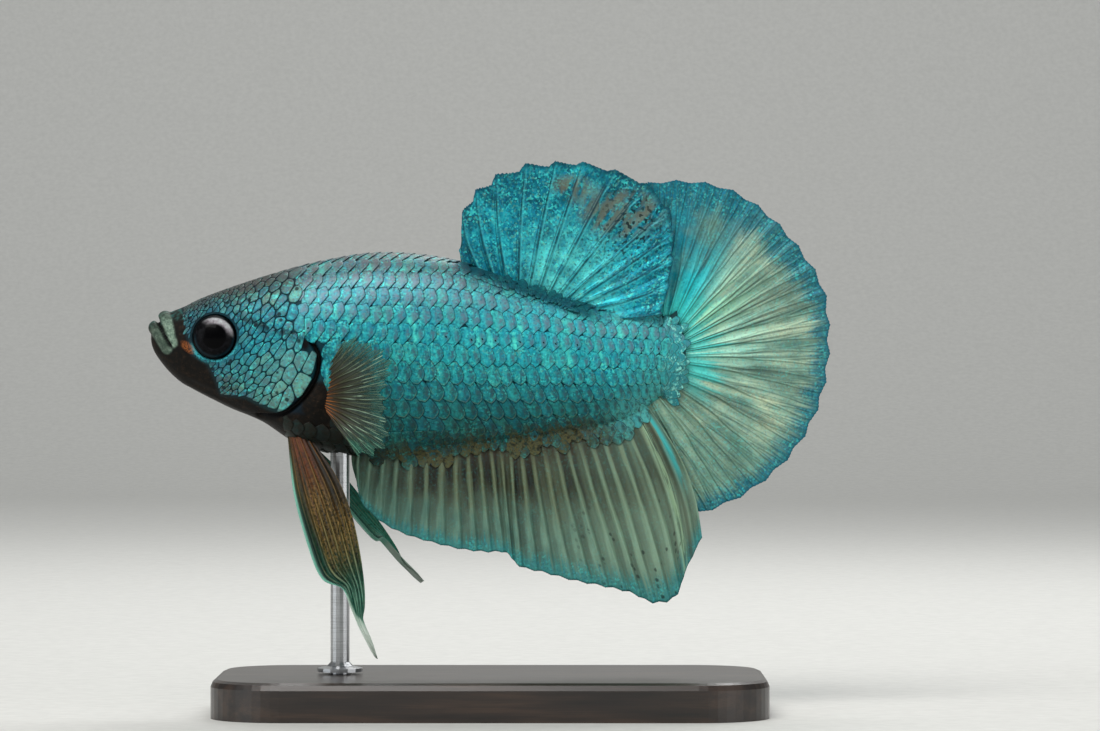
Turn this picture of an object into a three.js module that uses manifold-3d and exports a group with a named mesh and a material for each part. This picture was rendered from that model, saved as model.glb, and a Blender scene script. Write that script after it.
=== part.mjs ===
// A life-size still model of a male halfmoon plakat betta on a plain display stand.
// Millimetres, +Z up. The head points along -X, and the fish's left side faces -Y.
// The fish is drawn in its own frame, with x = 0 at the tip of the lower jaw and z = 0 on
// the level of the jaw joint, and is then lifted onto the stand.
import * as THREE from "three";
import { mergeVertices } from "three/addons/utils/BufferGeometryUtils.js";
import Module from "manifold-3d";

const wasm = await Module();
wasm.setup();

// ---- Driving dimensions -------------------------------------------------------------
const standardLength = 45; // lower jaw to the end of the tail stem
const seam = 0.2; // gap left between neighbouring pieces
const finThickness = 0.5;
const tailSwing = 0.9; // sideways bend of the body at the end of the tail stem
const swingStart = 24; // where along the body that bend begins
const base = { length: 46, width: 25, height: 3.2, corner: 6, edge: 0.6 };
const rod = { radius: 0.8, x: 15.9, flangeRadius: 1.9, flangeHeight: 0.5, depth: 1.6 };
const finClearance = 1.6; // free height between the lowest fin tip and the base

// ---- The body's form ----------------------------------------------------------------
// Back and belly lines as [x, z], and the sections between them, from snout to tail.
const backLine = [
  [1.35, 2.15], [1.75, 2.75], [2.7, 3.15], [4.3, 3.95], [7.0, 4.95], [10.3, 6.02], [14.4, 7.1],
  [19.6, 7.8], [25.8, 7.1], [32.4, 4.75], [38.4, 3.2], [42.3, 2.85], [44.5, 1.75], [45.0, -0.2],
];
const bellyLine = [
  [0.7, 1.5], [0.1, 0.75], [0.55, -0.85], [2.6, -3.1], [6.3, -5.2], [9.3, -6.45], [13.0, -8.6],
  [18.6, -9.3], [26.2, -8.65], [33.4, -7.8], [39.4, -6.6], [42.2, -4.8], [44.2, -3.1], [45.0, -1.1],
];
const halfWidths = [0.4, 1.2, 1.75, 2.5, 3.35, 4.0, 4.35, 4.25, 3.75, 2.95, 2.0, 1.4, 0.85, 0.4];
// How high the widest point of a section sits, from 0 at mid-height to 1 at the back.
const widestLevels = [0, 0, 0, 0.05, 0.05, 0.0, 0.0, 0.08, 0.14, 0.12, 0.08, 0, 0, 0];
// Section fullness above and below the widest point: 1 is an ellipse, less is squarer.
const crowns = [1, 0.9, 0.85, 0.8, 0.8, 0.85, 0.9, 0.92, 0.95, 1, 1, 1, 1, 1];
const keels = [1, 0.9, 0.85, 0.85, 0.85, 0.85, 0.9, 1.05, 1.25, 1.3, 1.2, 1, 1, 1];
const lastStation = backLine.length - 1;
const ringsAlong = 34;
const pointsAround = 28;
const endBulge = 0.1; // the first and last ring close in a very flat cone

const lerp = (a, b, t) => a + (b - a) * t;
const clamp = (v, low, high) => Math.min(high, Math.max(low, v));

// A smooth curve through evenly numbered values, which are numbers or lists of numbers.
function through(values, position) {
  const last = values.length - 1;
  const i = clamp(Math.floor(position), 0, last - 1);
  const t = position - i;
  const pick = (k) => [values[clamp(k, 0, last)]].flat();
  const [a, b, c, d] = [pick(i - 1), pick(i), pick(i + 1), pick(i + 2)];
  const found = b.map((q, k) => {
    const slopes = (c[k] - a[k]) * t + (2 * a[k] - 5 * q + 4 * c[k] - d[k]) * t * t;
    return 0.5 * (2 * q + slopes + (3 * q - a[k] - 3 * c[k] + d[k]) * t * t * t);
  });
  return Array.isArray(values[0]) ? found : found[0];
}

const swing = (x) => tailSwing * (Math.max(0, x - swingStart) / (standardLength - swingStart)) ** 2;

// A point of the body's surface. station runs from 0 at the snout to lastStation at the
// tail, angle is 0 on the left flank and a quarter turn on the back, and inset shrinks it.
function bodyPoint(station, angle, inset = 0) {
  const [backX, backZ] = through(backLine, station);
  const [bellyX, bellyZ] = through(bellyLine, station);
  const across = Math.cos(angle);
  const up = Math.sin(angle);
  const height = Math.hypot(backX - bellyX, backZ - bellyZ);
  const shrink = Math.max(0.2, 1 - (2 * inset) / height);
  const widest = through(widestLevels, station);
  const level = (up + widest * (1 - up * up)) * shrink;
  const fullness = through(up > 0 ? crowns : keels, station);
  const width = Math.max(0.2, through(halfWidths, station) - inset);
  const x = lerp(bellyX, backX, (1 + level) / 2);
  const z = lerp(bellyZ, backZ, (1 + level) / 2);
  const y = -width * Math.sign(across) * Math.abs(across) ** fullness;
  return new THREE.Vector3(x, y + swing(x), z);
}

// Rings closer together at the two ends, where the form turns quickest.
const stationAt = (share) => lastStation * (share - 0.035 * Math.sin(2 * Math.PI * share));

// The whole body as one closed geometry, pushed outwards by grow or shrunk by inset.
function bodyGeometry({ grow = 0, inset = 0 } = {}) {
  const points = [];
  const index = [];
  const step = 0.02; // how far the two neighbours lie that give the outward direction
  for (let i = 0; i <= ringsAlong; i++) {
    const station = stationAt(i / ringsAlong);
    for (let j = 0; j < pointsAround; j++) {
      const angle = (2 * Math.PI * j) / pointsAround;
      const p = bodyPoint(station, angle, inset);
      if (grow) {
        const along = bodyPoint(station + step, angle).sub(bodyPoint(station - step, angle));
        const around = bodyPoint(station, angle + step).sub(bodyPoint(station, angle - step));
        p.addScaledVector(along.cross(around).normalize(), grow);
      }
      points.push(p.x, p.y, p.z);
    }
  }
  for (let i = 0; i < ringsAlong; i++)
    for (let j = 0; j < pointsAround; j++) {
      const next = (j + 1) % pointsAround;
      const [a, b] = [i * pointsAround + j, i * pointsAround + next];
      const [c, d] = [a + pointsAround, b + pointsAround];
      index.push(a, c, b, b, c, d);
    }
  for (const [ring, side] of [[0, -1], [ringsAlong, 1]]) {
    const first = ring * pointsAround;
    const middle = points.length / 3;
    const centre = [0, 1, 2].map((k) => {
      let sum = 0;
      for (let j = 0; j < pointsAround; j++) sum += points[(first + j) * 3 + k];
      return sum / pointsAround;
    });
    points.push(centre[0] + side * (endBulge + grow), centre[1], centre[2]);
    for (let j = 0; j < pointsAround; j++) {
      const [a, b] = [first + j, first + ((j + 1) % pointsAround)];
      index.push(...(side < 0 ? [middle, a, b] : [middle, b, a]));
    }
  }
  const geometry = new THREE.BufferGeometry();
  geometry.setAttribute("position", new THREE.Float32BufferAttribute(points, 3));
  geometry.setIndex(index);
  return geometry;
}

// ---- Solids -------------------------------------------------------------------------
function toSolid(geometry) {
  const bare = geometry.clone();
  for (const name of ["normal", "uv"]) bare.deleteAttribute(name);
  const merged = mergeVertices(bare, 1e-4);
  const solid = new wasm.Manifold(
    new wasm.Mesh({
      numProp: 3,
      vertProperties: new Float32Array(merged.attributes.position.array),
      triVerts: new Uint32Array(merged.index.array),
    }),
  );
  if (solid.volume() < 0) throw new Error("a solid is inside out");
  return solid;
}

// The largest of a solid's separate bodies, so that a cut leaves no crumbs.
function largest(solid) {
  return solid.decompose().reduce((a, b) => (b.volume() > a.volume() ? b : a));
}

function toGeometry(solid) {
  const { vertProperties, triVerts, numProp } = largest(solid).getMesh();
  const position = new Float32Array((vertProperties.length / numProp) * 3);
  for (let i = 0; i < position.length / 3; i++)
    position.set(vertProperties.subarray(i * numProp, i * numProp + 3), i * 3);
  const geometry = new THREE.BufferGeometry();
  geometry.setAttribute("position", new THREE.BufferAttribute(position, 3));
  geometry.setIndex(new THREE.BufferAttribute(triVerts, 1));
  geometry.computeVertexNormals();
  return geometry;
}

// A prism across the fish, from an outline in its side view and between two y levels.
const clear = 12; // outlines and prisms that only have to pass the fish go this far out
function prism(outline, low = -clear, high = clear) {
  const shape = new THREE.Shape(outline.map(([x, z]) => new THREE.Vector2(x, z)));
  const geometry = new THREE.ExtrudeGeometry(shape, { depth: high - low, bevelEnabled: false });
  return toSolid(geometry.rotateX(Math.PI / 2).translate(0, high, 0));
}

// A closed smooth outline through a few corner points.
function roundOutline(corners, steps) {
  const curve = new THREE.CatmullRomCurve3(
    corners.map(([x, z]) => new THREE.Vector3(x, 0, z)),
    true,
  );
  return curve.getPoints(steps).slice(0, -1).map((p) => [p.x, p.z]);
}

function ellipsoid(centre, radii, across = 16, down = 9) {
  const geometry = new THREE.SphereGeometry(1, across, down).rotateX(Math.PI / 2);
  return toSolid(geometry.scale(...radii).translate(...centre));
}

// A round tube through points that are mirrored about the middle plane.
function lipTube(halfPath, radius) {
  const left = halfPath.map(([x, y, z]) => new THREE.Vector3(x, -y, z));
  const right = halfPath.slice(0, -1).reverse().map(([x, y, z]) => new THREE.Vector3(x, y, z));
  const section = new THREE.Shape().absarc(0, 0, radius, 0, 2 * Math.PI);
  return toSolid(
    new THREE.ExtrudeGeometry(section, {
      extrudePath: new THREE.CatmullRomCurve3([...left, ...right]),
      steps: 12,
      curveSegments: 4,
    }),
  );
}

const wholeBody = toSolid(bodyGeometry());
const grownBody = toSolid(bodyGeometry({ grow: seam }));

// ---- Mouth --------------------------------------------------------------------------
// The mouth points steeply up: its line runs from the corner to the front of the lips.
const mouthCorner = new THREE.Vector2(1.95, -0.35);
const mouthFront = new THREE.Vector2(0.62, 2.1);
const mouthRun = mouthFront.clone().sub(mouthCorner).normalize();
const mouthAcross = new THREE.Vector2(mouthRun.y, -mouthRun.x); // towards the upper jaw
const mouthPoint = (along, off) => {
  const p = mouthCorner.clone().addScaledVector(mouthRun, along);
  p.addScaledVector(mouthAcross, off);
  return [p.x, p.y];
};
const upperLipDepth = 1.25;
const mouthOpening = 0.32; // at the front; the corner only has the seam

// The upper jaw is a band along the mouth line, back to the snout.
const lipsBehind = 0.55; // the lips reach this far behind the corner of the mouth
const lipsAhead = 5; // and end somewhere short of this
const upperJawOutline = (grow) => [
  mouthPoint(-lipsBehind - grow, seam / 2 - grow),
  mouthPoint(-lipsBehind - grow, upperLipDepth + grow),
  mouthPoint(lipsAhead, upperLipDepth + grow),
  mouthPoint(lipsAhead, mouthOpening / 2 - grow),
];
// The lower jaw runs from the mouth line back to a joint under the eye.
const jawJoint = [5.9, -6.4];
const lowerJawOutline = (grow) => [
  mouthPoint(lipsAhead, -mouthOpening / 2 + grow),
  mouthPoint(-lipsBehind, -seam / 2 + grow),
  [jawJoint[0] + grow, jawJoint[1]],
  [-clear, jawJoint[1]],
  [-clear, clear],
];

const upperLipPath = [[2.35, 1.62, 0.35], [1.85, 1.35, 1.45], [1.35, 0.85, 2.1], [1.05, 0, 2.3]];
const lowerLipPath = [[1.75, 1.55, -0.15], [1.15, 1.3, 0.65], [0.65, 0.8, 1.25], [0.42, 0, 1.5]];
const lipRadius = 0.4;
const dressedHead = wholeBody
  .add(lipTube(upperLipPath, lipRadius))
  .add(lipTube(lowerLipPath, lipRadius));

// ---- Head, gill covers, trunk and tail stem -----------------------------------------
// The head ends along the rear edge of the gill covers and a line up to the nape.
const gillRear = [[12.9, 1.5], [13.7, -0.4], [14.0, -2.0], [13.6, -3.6], [12.5, -4.9], [10.9, -5.7]];
const napeX = 12.4;
const headOutline = (grow) => [
  [-clear, clear],
  [napeX + grow, clear],
  ...gillRear.map(([x, z]) => [x + grow, z]),
  [10.4 + grow, -7.4],
  [9.4 + grow, -clear],
  [-clear, -clear],
];
const gillCorners = [
  [10.6, 1.55], [12.6, 1.3], [13.45, -0.7], [13.7, -2.2], [13.2, -3.7], [12.1, -4.75], [10.2, -5.4],
  [9.1, -4.6], [9.2, -1.5],
];
const gillOutline = roundOutline(gillCorners, 32);
const gillMiddle = [11.5, -1.9];
const grownGill = gillOutline.map(([x, z]) => [
  gillMiddle[0] + (x - gillMiddle[0]) * (1 + seam / 2.2),
  gillMiddle[1] + (z - gillMiddle[1]) * (1 + seam / 3.4),
]);
const gillThickness = 0.9;
const gillLift = 0.12; // the covers stand a little proud of the head

const eye = { x: 5.62, z: 0.67, y: 2.85, radius: 1.95, depth: 1.15 };
const sides = [["left", -1], ["right", 1]];
const offMiddle = 0.8; // what is cut on one side keeps this far from the middle plane
const sidePrism = (outline, side) =>
  side < 0 ? prism(outline, -clear, -offMiddle) : prism(outline, offMiddle, clear);

const liftedBody = toSolid(bodyGeometry({ grow: gillLift }));
const gillCore = toSolid(bodyGeometry({ inset: gillThickness }));
const gillBed = toSolid(bodyGeometry({ inset: gillThickness + seam }));

const frontOfFish = dressedHead.intersect(prism(headOutline(0)));
let headSolid = frontOfFish
  .subtract(prism(upperJawOutline(seam)))
  .subtract(prism(lowerJawOutline(seam)));
const gillSolids = {};
for (const [name, side] of sides) {
  gillSolids[name] = sidePrism(gillOutline, side).intersect(liftedBody).subtract(gillCore);
  headSolid = headSolid
    .subtract(sidePrism(grownGill, side).subtract(gillBed))
    .subtract(
      ellipsoid(
        [eye.x, side * eye.y, eye.z],
        [eye.radius + seam, eye.depth + seam, eye.radius + seam],
      ),
    );
}

const tailCut = 38.2;
const socketTop = -6.8; // the rod ends inside the belly
const socketDepth = 8;
const rodSides = 16;
const rodSocket = toSolid(
  new THREE.CylinderGeometry(rod.radius + seam, rod.radius + seam, socketDepth, rodSides)
    .rotateX(Math.PI / 2)
    .translate(rod.x, 0, socketTop - socketDepth / 2),
);
const behindHead = wholeBody.subtract(prism(headOutline(seam)));
const trunkSolid = behindHead
  .intersect(prism([[0, clear], [tailCut, clear], [tailCut, -clear], [0, -clear]]))
  .subtract(rodSocket);
const pastTail = 50;
const tailSolid = behindHead.intersect(
  prism([
    [tailCut + seam, clear], [pastTail, clear], [pastTail, -clear], [tailCut + seam, -clear],
  ]),
);

// ---- Fins ---------------------------------------------------------------------------
// A fin is a sheet of even thickness over a grid: place(u, v) gives its middle surface,
// u running along the root and v out along the rays. The body is then cut away from it.
function finSheet(place, columns, rows, thickness = finThickness) {
  const middle = [];
  for (let i = 0; i <= columns; i++)
    for (let j = 0; j <= rows; j++) middle.push(place(i / columns, j / rows));
  const at = (i, j) => middle[clamp(i, 0, columns) * (rows + 1) + clamp(j, 0, rows)];
  const points = [];
  for (const side of [-0.5, 0.5])
    for (let i = 0; i <= columns; i++)
      for (let j = 0; j <= rows; j++) {
        const along = at(i + 1, j).clone().sub(at(i - 1, j));
        const out = at(i, j + 1).clone().sub(at(i, j - 1));
        const normal = along.cross(out).normalize();
        const p = at(i, j).clone().addScaledVector(normal, side * thickness);
        points.push(p.x, p.y, p.z);
      }
  const index = [];
  const count = (columns + 1) * (rows + 1);
  const id = (i, j, far) => far * count + i * (rows + 1) + j;
  const quad = (a, b, c, d) => index.push(a, b, c, a, c, d);
  for (let i = 0; i < columns; i++)
    for (let j = 0; j < rows; j++) {
      quad(id(i, j, 1), id(i + 1, j, 1), id(i + 1, j + 1, 1), id(i, j + 1, 1));
      quad(id(i, j, 0), id(i, j + 1, 0), id(i + 1, j + 1, 0), id(i + 1, j, 0));
    }
  for (let i = 0; i < columns; i++) {
    quad(id(i, 0, 0), id(i + 1, 0, 0), id(i + 1, 0, 1), id(i, 0, 1));
    quad(id(i + 1, rows, 0), id(i, rows, 0), id(i, rows, 1), id(i + 1, rows, 1));
  }
  for (let j = 0; j < rows; j++) {
    quad(id(0, j + 1, 0), id(0, j, 0), id(0, j, 1), id(0, j + 1, 1));
    quad(id(columns, j, 0), id(columns, j + 1, 0), id(columns, j + 1, 1), id(columns, j, 1));
  }
  const geometry = new THREE.BufferGeometry();
  geometry.setAttribute("position", new THREE.Float32BufferAttribute(points, 3));
  geometry.setIndex(index);
  return toSolid(geometry).subtract(grownBody);
}

// Saw-tooth of the free edge: 0 at a ray's tip, 1 in the web halfway to the next ray.
const webNotch = (u, rays) => 1 - Math.abs(((u * rays) % 1) * 2 - 1);
const between = (from, to, v) => [lerp(from[0], to[0], v), lerp(from[1], to[1], v)];

// Dorsal fin: a tall fan whose last rays lie back along the tail stem.
const dorsal = {
  rays: 12, rootFront: [27.0, 6.3], rootRear: [35.3, 3.3], centre: [34.9, 6.7],
  radii: [9.05, 8.7], frontSquareness: 2.9, rearSquareness: 2.05, firstAngle: 164,
  lastAngle: -22, notch: 0.035, lean: 1.5,
};
function dorsalPlace(u, v) {
  const angle = THREE.MathUtils.degToRad(lerp(dorsal.firstAngle, dorsal.lastAngle, u));
  const power = 2 / lerp(dorsal.frontSquareness, dorsal.rearSquareness, u);
  const reach = 1 - dorsal.notch * webNotch(u, dorsal.rays);
  const bow = (t, r) => Math.sign(t) * Math.abs(t) ** power * r * reach;
  const tip = [
    dorsal.centre[0] + bow(Math.cos(angle), dorsal.radii[0]),
    dorsal.centre[1] + bow(Math.sin(angle), dorsal.radii[1]),
  ];
  const root = between(dorsal.rootFront, dorsal.rootRear, 1 - (1 - u) ** 1.7);
  const [x, z] = between(root, tip, v);
  return new THREE.Vector3(x, swing(x) - dorsal.lean * v * u, z);
}

// Caudal fin: a half disc, its rays fanned through nearly 180 degrees.
const caudal = {
  rays: 18, centre: [43.5, 0.3], radius: 13.5, droop: 1.2, firstAngle: -80, lastAngle: 98,
  notch: 0.02, roots: [[40.9, -5.0], [43.2, -3.3], [44.3, -0.8], [43.9, 1.2], [42.6, 2.4]],
  sway: 0.7,
};
function caudalPlace(u, v) {
  const angle = THREE.MathUtils.degToRad(lerp(caudal.firstAngle, caudal.lastAngle, u));
  const full = caudal.radius + caudal.droop * Math.max(0, -Math.sin(angle)) ** 6;
  const reach = full * (1 - caudal.notch * webNotch(u, caudal.rays));
  const tip = [
    caudal.centre[0] + reach * Math.cos(angle),
    caudal.centre[1] + reach * Math.sin(angle),
  ];
  const root = through(caudal.roots, u * (caudal.roots.length - 1));
  const [x, z] = between(root, tip, v);
  return new THREE.Vector3(x, swing(x) + caudal.sway * v * Math.sin(5 * u + 0.6), z);
}

// Anal fin: long and low in front, deepest behind, with a step in its lower edge.
const anal = {
  roots: [[17.3, -8.2], [26.2, -7.9], [33.6, -7.1], [41.2, -5.4]],
  edge: [
    [17.3, -11.7], [19.6, -14.7], [24.8, -16.9], [29.6, -17.5], [30.8, -18.6], [35.6, -19.8],
    [42.2, -21.8], [44.6, -21.2], [46.1, -15.6],
  ],
  lean: 1.1,
};
function analPlace(u, v) {
  const root = through(anal.roots, u * (anal.roots.length - 1));
  const tip = through(anal.edge, u * (anal.edge.length - 1));
  const [x, z] = between(root, tip, v);
  return new THREE.Vector3(x, swing(x) - anal.lean * v * u * u, z);
}

// Pectoral fins: small fans behind the gill covers, held out from the flank.
const pectoral = {
  rays: 9, root: [14.7, 3.95, -4.6], rootHeight: 2.0, length: 7.6, upperAngle: 66,
  lowerAngle: -61, spread: 36, cup: 0.9, notch: 0.06, flatness: 0.74,
};
function pectoralPlace(side) {
  const outward = THREE.MathUtils.degToRad(pectoral.spread);
  return (u, v) => {
    const angle = THREE.MathUtils.degToRad(lerp(pectoral.upperAngle, pectoral.lowerAngle, u));
    const reach = v * pectoral.length * (1 - pectoral.notch * webNotch(u, pectoral.rays));
    const back = reach * Math.cos(angle) * (0.86 + 0.14 * Math.abs(Math.sin(angle)));
    const up = reach * Math.sin(angle) * pectoral.flatness + pectoral.rootHeight * (0.5 - u);
    const cup = pectoral.cup * v * v;
    return new THREE.Vector3(
      pectoral.root[0] + back * Math.cos(outward) + cup * Math.sin(outward),
      side * (pectoral.root[1] + back * Math.sin(outward) - cup * Math.cos(outward)),
      pectoral.root[2] + up,
    );
  };
}

// Pelvic fins: narrow blades drawn out to a thread. Each is a leading and a trailing edge
// in its own plane, turned about the root: swept back, and out from the belly.
const pelvic = {
  leading: [[-0.75, 0.5], [-0.8, -3.2], [-0.1, -6.8], [1.5, -11.1], [3.8, -13.4], [6.3, -18.4]],
  trailing: [[0.85, 0.5], [3.0, -2.1], [4.5, -5.5], [5.2, -9.6], [5.6, -13.3], [6.7, -18.4]],
  root: [12.5, 1.35, -8.3],
};
const pelvicPose = {
  left: { side: -1, sweep: 0, out: 14, turn: 12, scale: 1 },
  right: { side: 1, sweep: 31.6, out: 16, turn: 80, scale: 0.95 },
};
function pelvicPlace({ side, sweep, out, turn, scale }) {
  const radians = THREE.MathUtils.degToRad;
  const pose = new THREE.Matrix4()
    .makeTranslation(pelvic.root[0], side * pelvic.root[1], pelvic.root[2])
    .multiply(new THREE.Matrix4().makeRotationX(side * radians(out)))
    .multiply(new THREE.Matrix4().makeRotationY(radians(-sweep)))
    .multiply(new THREE.Matrix4().makeRotationZ(side * radians(turn)))
    .multiply(new THREE.Matrix4().makeScale(scale, scale, scale));
  const last = pelvic.leading.length - 1;
  return (u, v) => {
    const [x, z] = between(through(pelvic.leading, v * last), through(pelvic.trailing, v * last), u);
    return new THREE.Vector3(x, side * 0.5 * Math.sin(Math.PI * u) * (1 - v), z).applyMatrix4(pose);
  };
}

// ---- Finishes -----------------------------------------------------------------------
const finish = (color, roughness, metalness = 0) =>
  new THREE.MeshStandardMaterial({ color, roughness, metalness });
const finishes = {
  scaled: () => finish(0x3f9aa4, 0.4, 0.3),
  lips: () => finish(0x7f9c92, 0.45),
  jaw: () => finish(0x3a302a, 0.5),
  brightFin: () => finish(0x179ab4, 0.42, 0.25),
  paleFin: () => finish(0x7fa093, 0.5, 0.1),
  clearFin: () => finish(0x6d6b52, 0.5),
  amberFin: () => finish(0x7a5526, 0.5),
  eye: () => finish(0x0a0808, 0.08),
  wood: () => finish(0x1b1a19, 0.5),
  steel: () => finish(0xb9babd, 0.3, 1),
};

// ---- The fish -----------------------------------------------------------------------
const fish = new THREE.Group();
const addPiece = (group, name, solid, material) => {
  const mesh = new THREE.Mesh(toGeometry(solid), material);
  mesh.name = name;
  group.add(mesh);
};

addPiece(fish, "head", headSolid, finishes.scaled());
addPiece(fish, "upper_jaw", dressedHead.intersect(prism(upperJawOutline(0))), finishes.lips());
addPiece(fish, "lower_jaw", dressedHead.intersect(prism(lowerJawOutline(0))), finishes.jaw());
addPiece(fish, "trunk", trunkSolid, finishes.scaled());
addPiece(fish, "tail_stem", tailSolid, finishes.scaled());
addPiece(fish, "dorsal_fin", finSheet(dorsalPlace, 2 * dorsal.rays, 4), finishes.brightFin());
addPiece(fish, "caudal_fin", finSheet(caudalPlace, 2 * caudal.rays, 3), finishes.paleFin());
addPiece(fish, "anal_fin", finSheet(analPlace, 26, 3), finishes.paleFin());
for (const [name, side] of sides) {
  const eyeRadii = [eye.radius, eye.depth, eye.radius];
  addPiece(fish, `eye_${name}`, ellipsoid([eye.x, side * eye.y, eye.z], eyeRadii), finishes.eye());
  addPiece(fish, `gill_cover_${name}`, gillSolids[name], finishes.scaled());
  const fan = finSheet(pectoralPlace(side), 2 * pectoral.rays, 3);
  addPiece(fish, `pectoral_fin_${name}`, fan, finishes.clearFin());
  const blade = finSheet(pelvicPlace(pelvicPose[name]), 2, 13);
  addPiece(fish, `pelvic_fin_${name}`, blade, finishes.amberFin());
}

// The fish is centred over the base lengthwise and clears it by its lowest fin tip.
const fishBox = new THREE.Box3().setFromObject(fish);
const fishMiddle = fishBox.getCenter(new THREE.Vector3());
fish.position.set(-fishMiddle.x, 0, base.height + finClearance - fishBox.min.z);

// ---- Display stand ------------------------------------------------------------------
const stand = new THREE.Group();

function roundedPlate({ length, width, corner }, shrink) {
  const [hx, hy, r] = [length / 2 - shrink, width / 2 - shrink, corner - shrink];
  const shape = new THREE.Shape();
  shape.absarc(hx - r, hy - r, r, 0, Math.PI / 2);
  shape.absarc(-hx + r, hy - r, r, Math.PI / 2, Math.PI);
  shape.absarc(-hx + r, -hy + r, r, Math.PI, 1.5 * Math.PI);
  shape.absarc(hx - r, -hy + r, r, 1.5 * Math.PI, 2 * Math.PI);
  return shape;
}
const plate = toSolid(
  new THREE.ExtrudeGeometry(roundedPlate(base, base.edge), {
    depth: base.height - base.edge,
    bevelSize: base.edge,
    bevelThickness: base.edge,
    bevelSegments: 2,
    curveSegments: 6,
  }),
);
const under = 2 * base.length; // a block under the floor level, to cut the underside flat
const flatBottom = toSolid(new THREE.BoxGeometry(under, under, under).translate(0, 0, -under / 2));
const rodX = rod.x - fishMiddle.x;
const rodHole = toSolid(
  new THREE.CylinderGeometry(rod.radius + seam, rod.radius + seam, socketDepth, rodSides)
    .rotateX(Math.PI / 2)
    .translate(rodX, 0, base.height - rod.depth - seam + socketDepth / 2),
);
addPiece(stand, "stand_base", plate.subtract(flatBottom).subtract(rodHole), finishes.wood());

// The rod turns on the base in a small flange and ends in the socket in the belly.
const rodTop = fish.position.z + socketTop - seam;
const rodProfile = [
  [0, base.height - rod.depth],
  [rod.radius, base.height - rod.depth],
  [rod.radius, base.height + seam],
  [rod.flangeRadius, base.height + seam],
  [rod.flangeRadius, base.height + seam + rod.flangeHeight * 0.6],
  [rod.radius + 0.3, base.height + seam + rod.flangeHeight],
  [rod.radius, base.height + seam + rod.flangeHeight + 0.3],
  [rod.radius, rodTop],
  [0, rodTop],
].map(([r, z]) => new THREE.Vector2(r, z));
const rodSolid = toSolid(
  new THREE.LatheGeometry(rodProfile, rodSides).rotateX(Math.PI / 2).translate(rodX, 0, 0),
);
addPiece(stand, "stand_rod", rodSolid, finishes.steel());

const model = new THREE.Group();
model.add(fish, stand);
export default model;
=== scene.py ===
import math

import bpy
import numpy as np
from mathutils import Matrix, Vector


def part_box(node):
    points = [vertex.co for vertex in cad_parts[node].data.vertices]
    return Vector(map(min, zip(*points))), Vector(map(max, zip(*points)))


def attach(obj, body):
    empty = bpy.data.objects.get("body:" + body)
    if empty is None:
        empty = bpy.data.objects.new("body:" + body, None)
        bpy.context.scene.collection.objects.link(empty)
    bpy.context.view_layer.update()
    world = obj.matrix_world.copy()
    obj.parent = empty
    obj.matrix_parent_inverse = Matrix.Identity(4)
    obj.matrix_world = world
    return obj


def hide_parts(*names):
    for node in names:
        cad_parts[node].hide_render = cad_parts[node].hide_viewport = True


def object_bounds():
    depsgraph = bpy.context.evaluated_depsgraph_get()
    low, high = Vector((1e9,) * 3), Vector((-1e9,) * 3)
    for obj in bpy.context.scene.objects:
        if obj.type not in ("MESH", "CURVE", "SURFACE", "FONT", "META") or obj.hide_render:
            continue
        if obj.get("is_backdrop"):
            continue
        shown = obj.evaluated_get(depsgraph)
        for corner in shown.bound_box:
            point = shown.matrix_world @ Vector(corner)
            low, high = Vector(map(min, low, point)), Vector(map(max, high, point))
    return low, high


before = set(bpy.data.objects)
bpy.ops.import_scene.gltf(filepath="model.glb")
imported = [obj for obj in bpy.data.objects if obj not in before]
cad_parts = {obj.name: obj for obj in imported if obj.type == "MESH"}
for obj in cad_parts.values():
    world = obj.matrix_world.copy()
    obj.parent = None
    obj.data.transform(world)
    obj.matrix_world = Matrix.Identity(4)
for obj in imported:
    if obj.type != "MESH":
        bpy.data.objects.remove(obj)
cad_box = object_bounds()

# ---------------------------------------------------------------------------------------
# Body skin. On the live fish one thin elastic skin runs without a break over the jaws,
# gill covers, trunk and tail stem, pale and plump at the lips and nearly black between
# the scales and under the throat. Here it is one closed mesh, just below the scales.
standard_length = 45.0
tail_swing = 0.9
swing_start = 24.0
back_line = [
    (1.35, 2.15), (1.75, 2.75), (2.7, 3.15), (4.3, 3.95), (7.0, 4.95), (10.3, 6.02), (14.4, 7.1),
    (19.6, 7.8), (25.8, 7.1), (32.4, 4.75), (38.4, 3.2), (42.3, 2.85), (44.5, 1.75), (45.0, -0.2),
]
belly_line = [
    (0.7, 1.5), (0.1, 0.75), (0.55, -0.85), (2.6, -3.1), (6.3, -5.2), (9.3, -6.45), (13.0, -8.6),
    (18.6, -9.3), (26.2, -8.65), (33.4, -7.8), (39.4, -6.6), (42.2, -4.8), (44.2, -3.1), (45.0, -1.1),
]
half_widths = [0.4, 1.2, 1.75, 2.5, 3.35, 4.0, 4.35, 4.25, 3.75, 2.95, 2.0, 1.4, 0.85, 0.4]
widest_levels = [0, 0, 0, 0.05, 0.05, 0, 0, 0.08, 0.14, 0.12, 0.08, 0, 0, 0]
crowns = [1, 0.9, 0.85, 0.8, 0.8, 0.85, 0.9, 0.92, 0.95, 1, 1, 1, 1, 1]
keels = [1, 0.9, 0.85, 0.85, 0.85, 0.85, 0.9, 1.05, 1.25, 1.3, 1.2, 1, 1, 1]
last_station = len(back_line) - 1
eye_x, eye_y, eye_z = 5.62, 2.85, 0.67
ball_radius, ball_depth = 1.82, 1.12
coat_depth = 0.17
face_depth = 0.1
skin_voxel = 0.11

eye_low, eye_high = (np.array(corner) * 1000 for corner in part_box("eye_left"))
stand_offset = (eye_low + eye_high) / 2 * np.array([1, 0, 1]) - np.array([eye_x, 0, eye_z])


def on_stand(points):
    return (np.asarray(points, float) + stand_offset) / 1000


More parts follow.
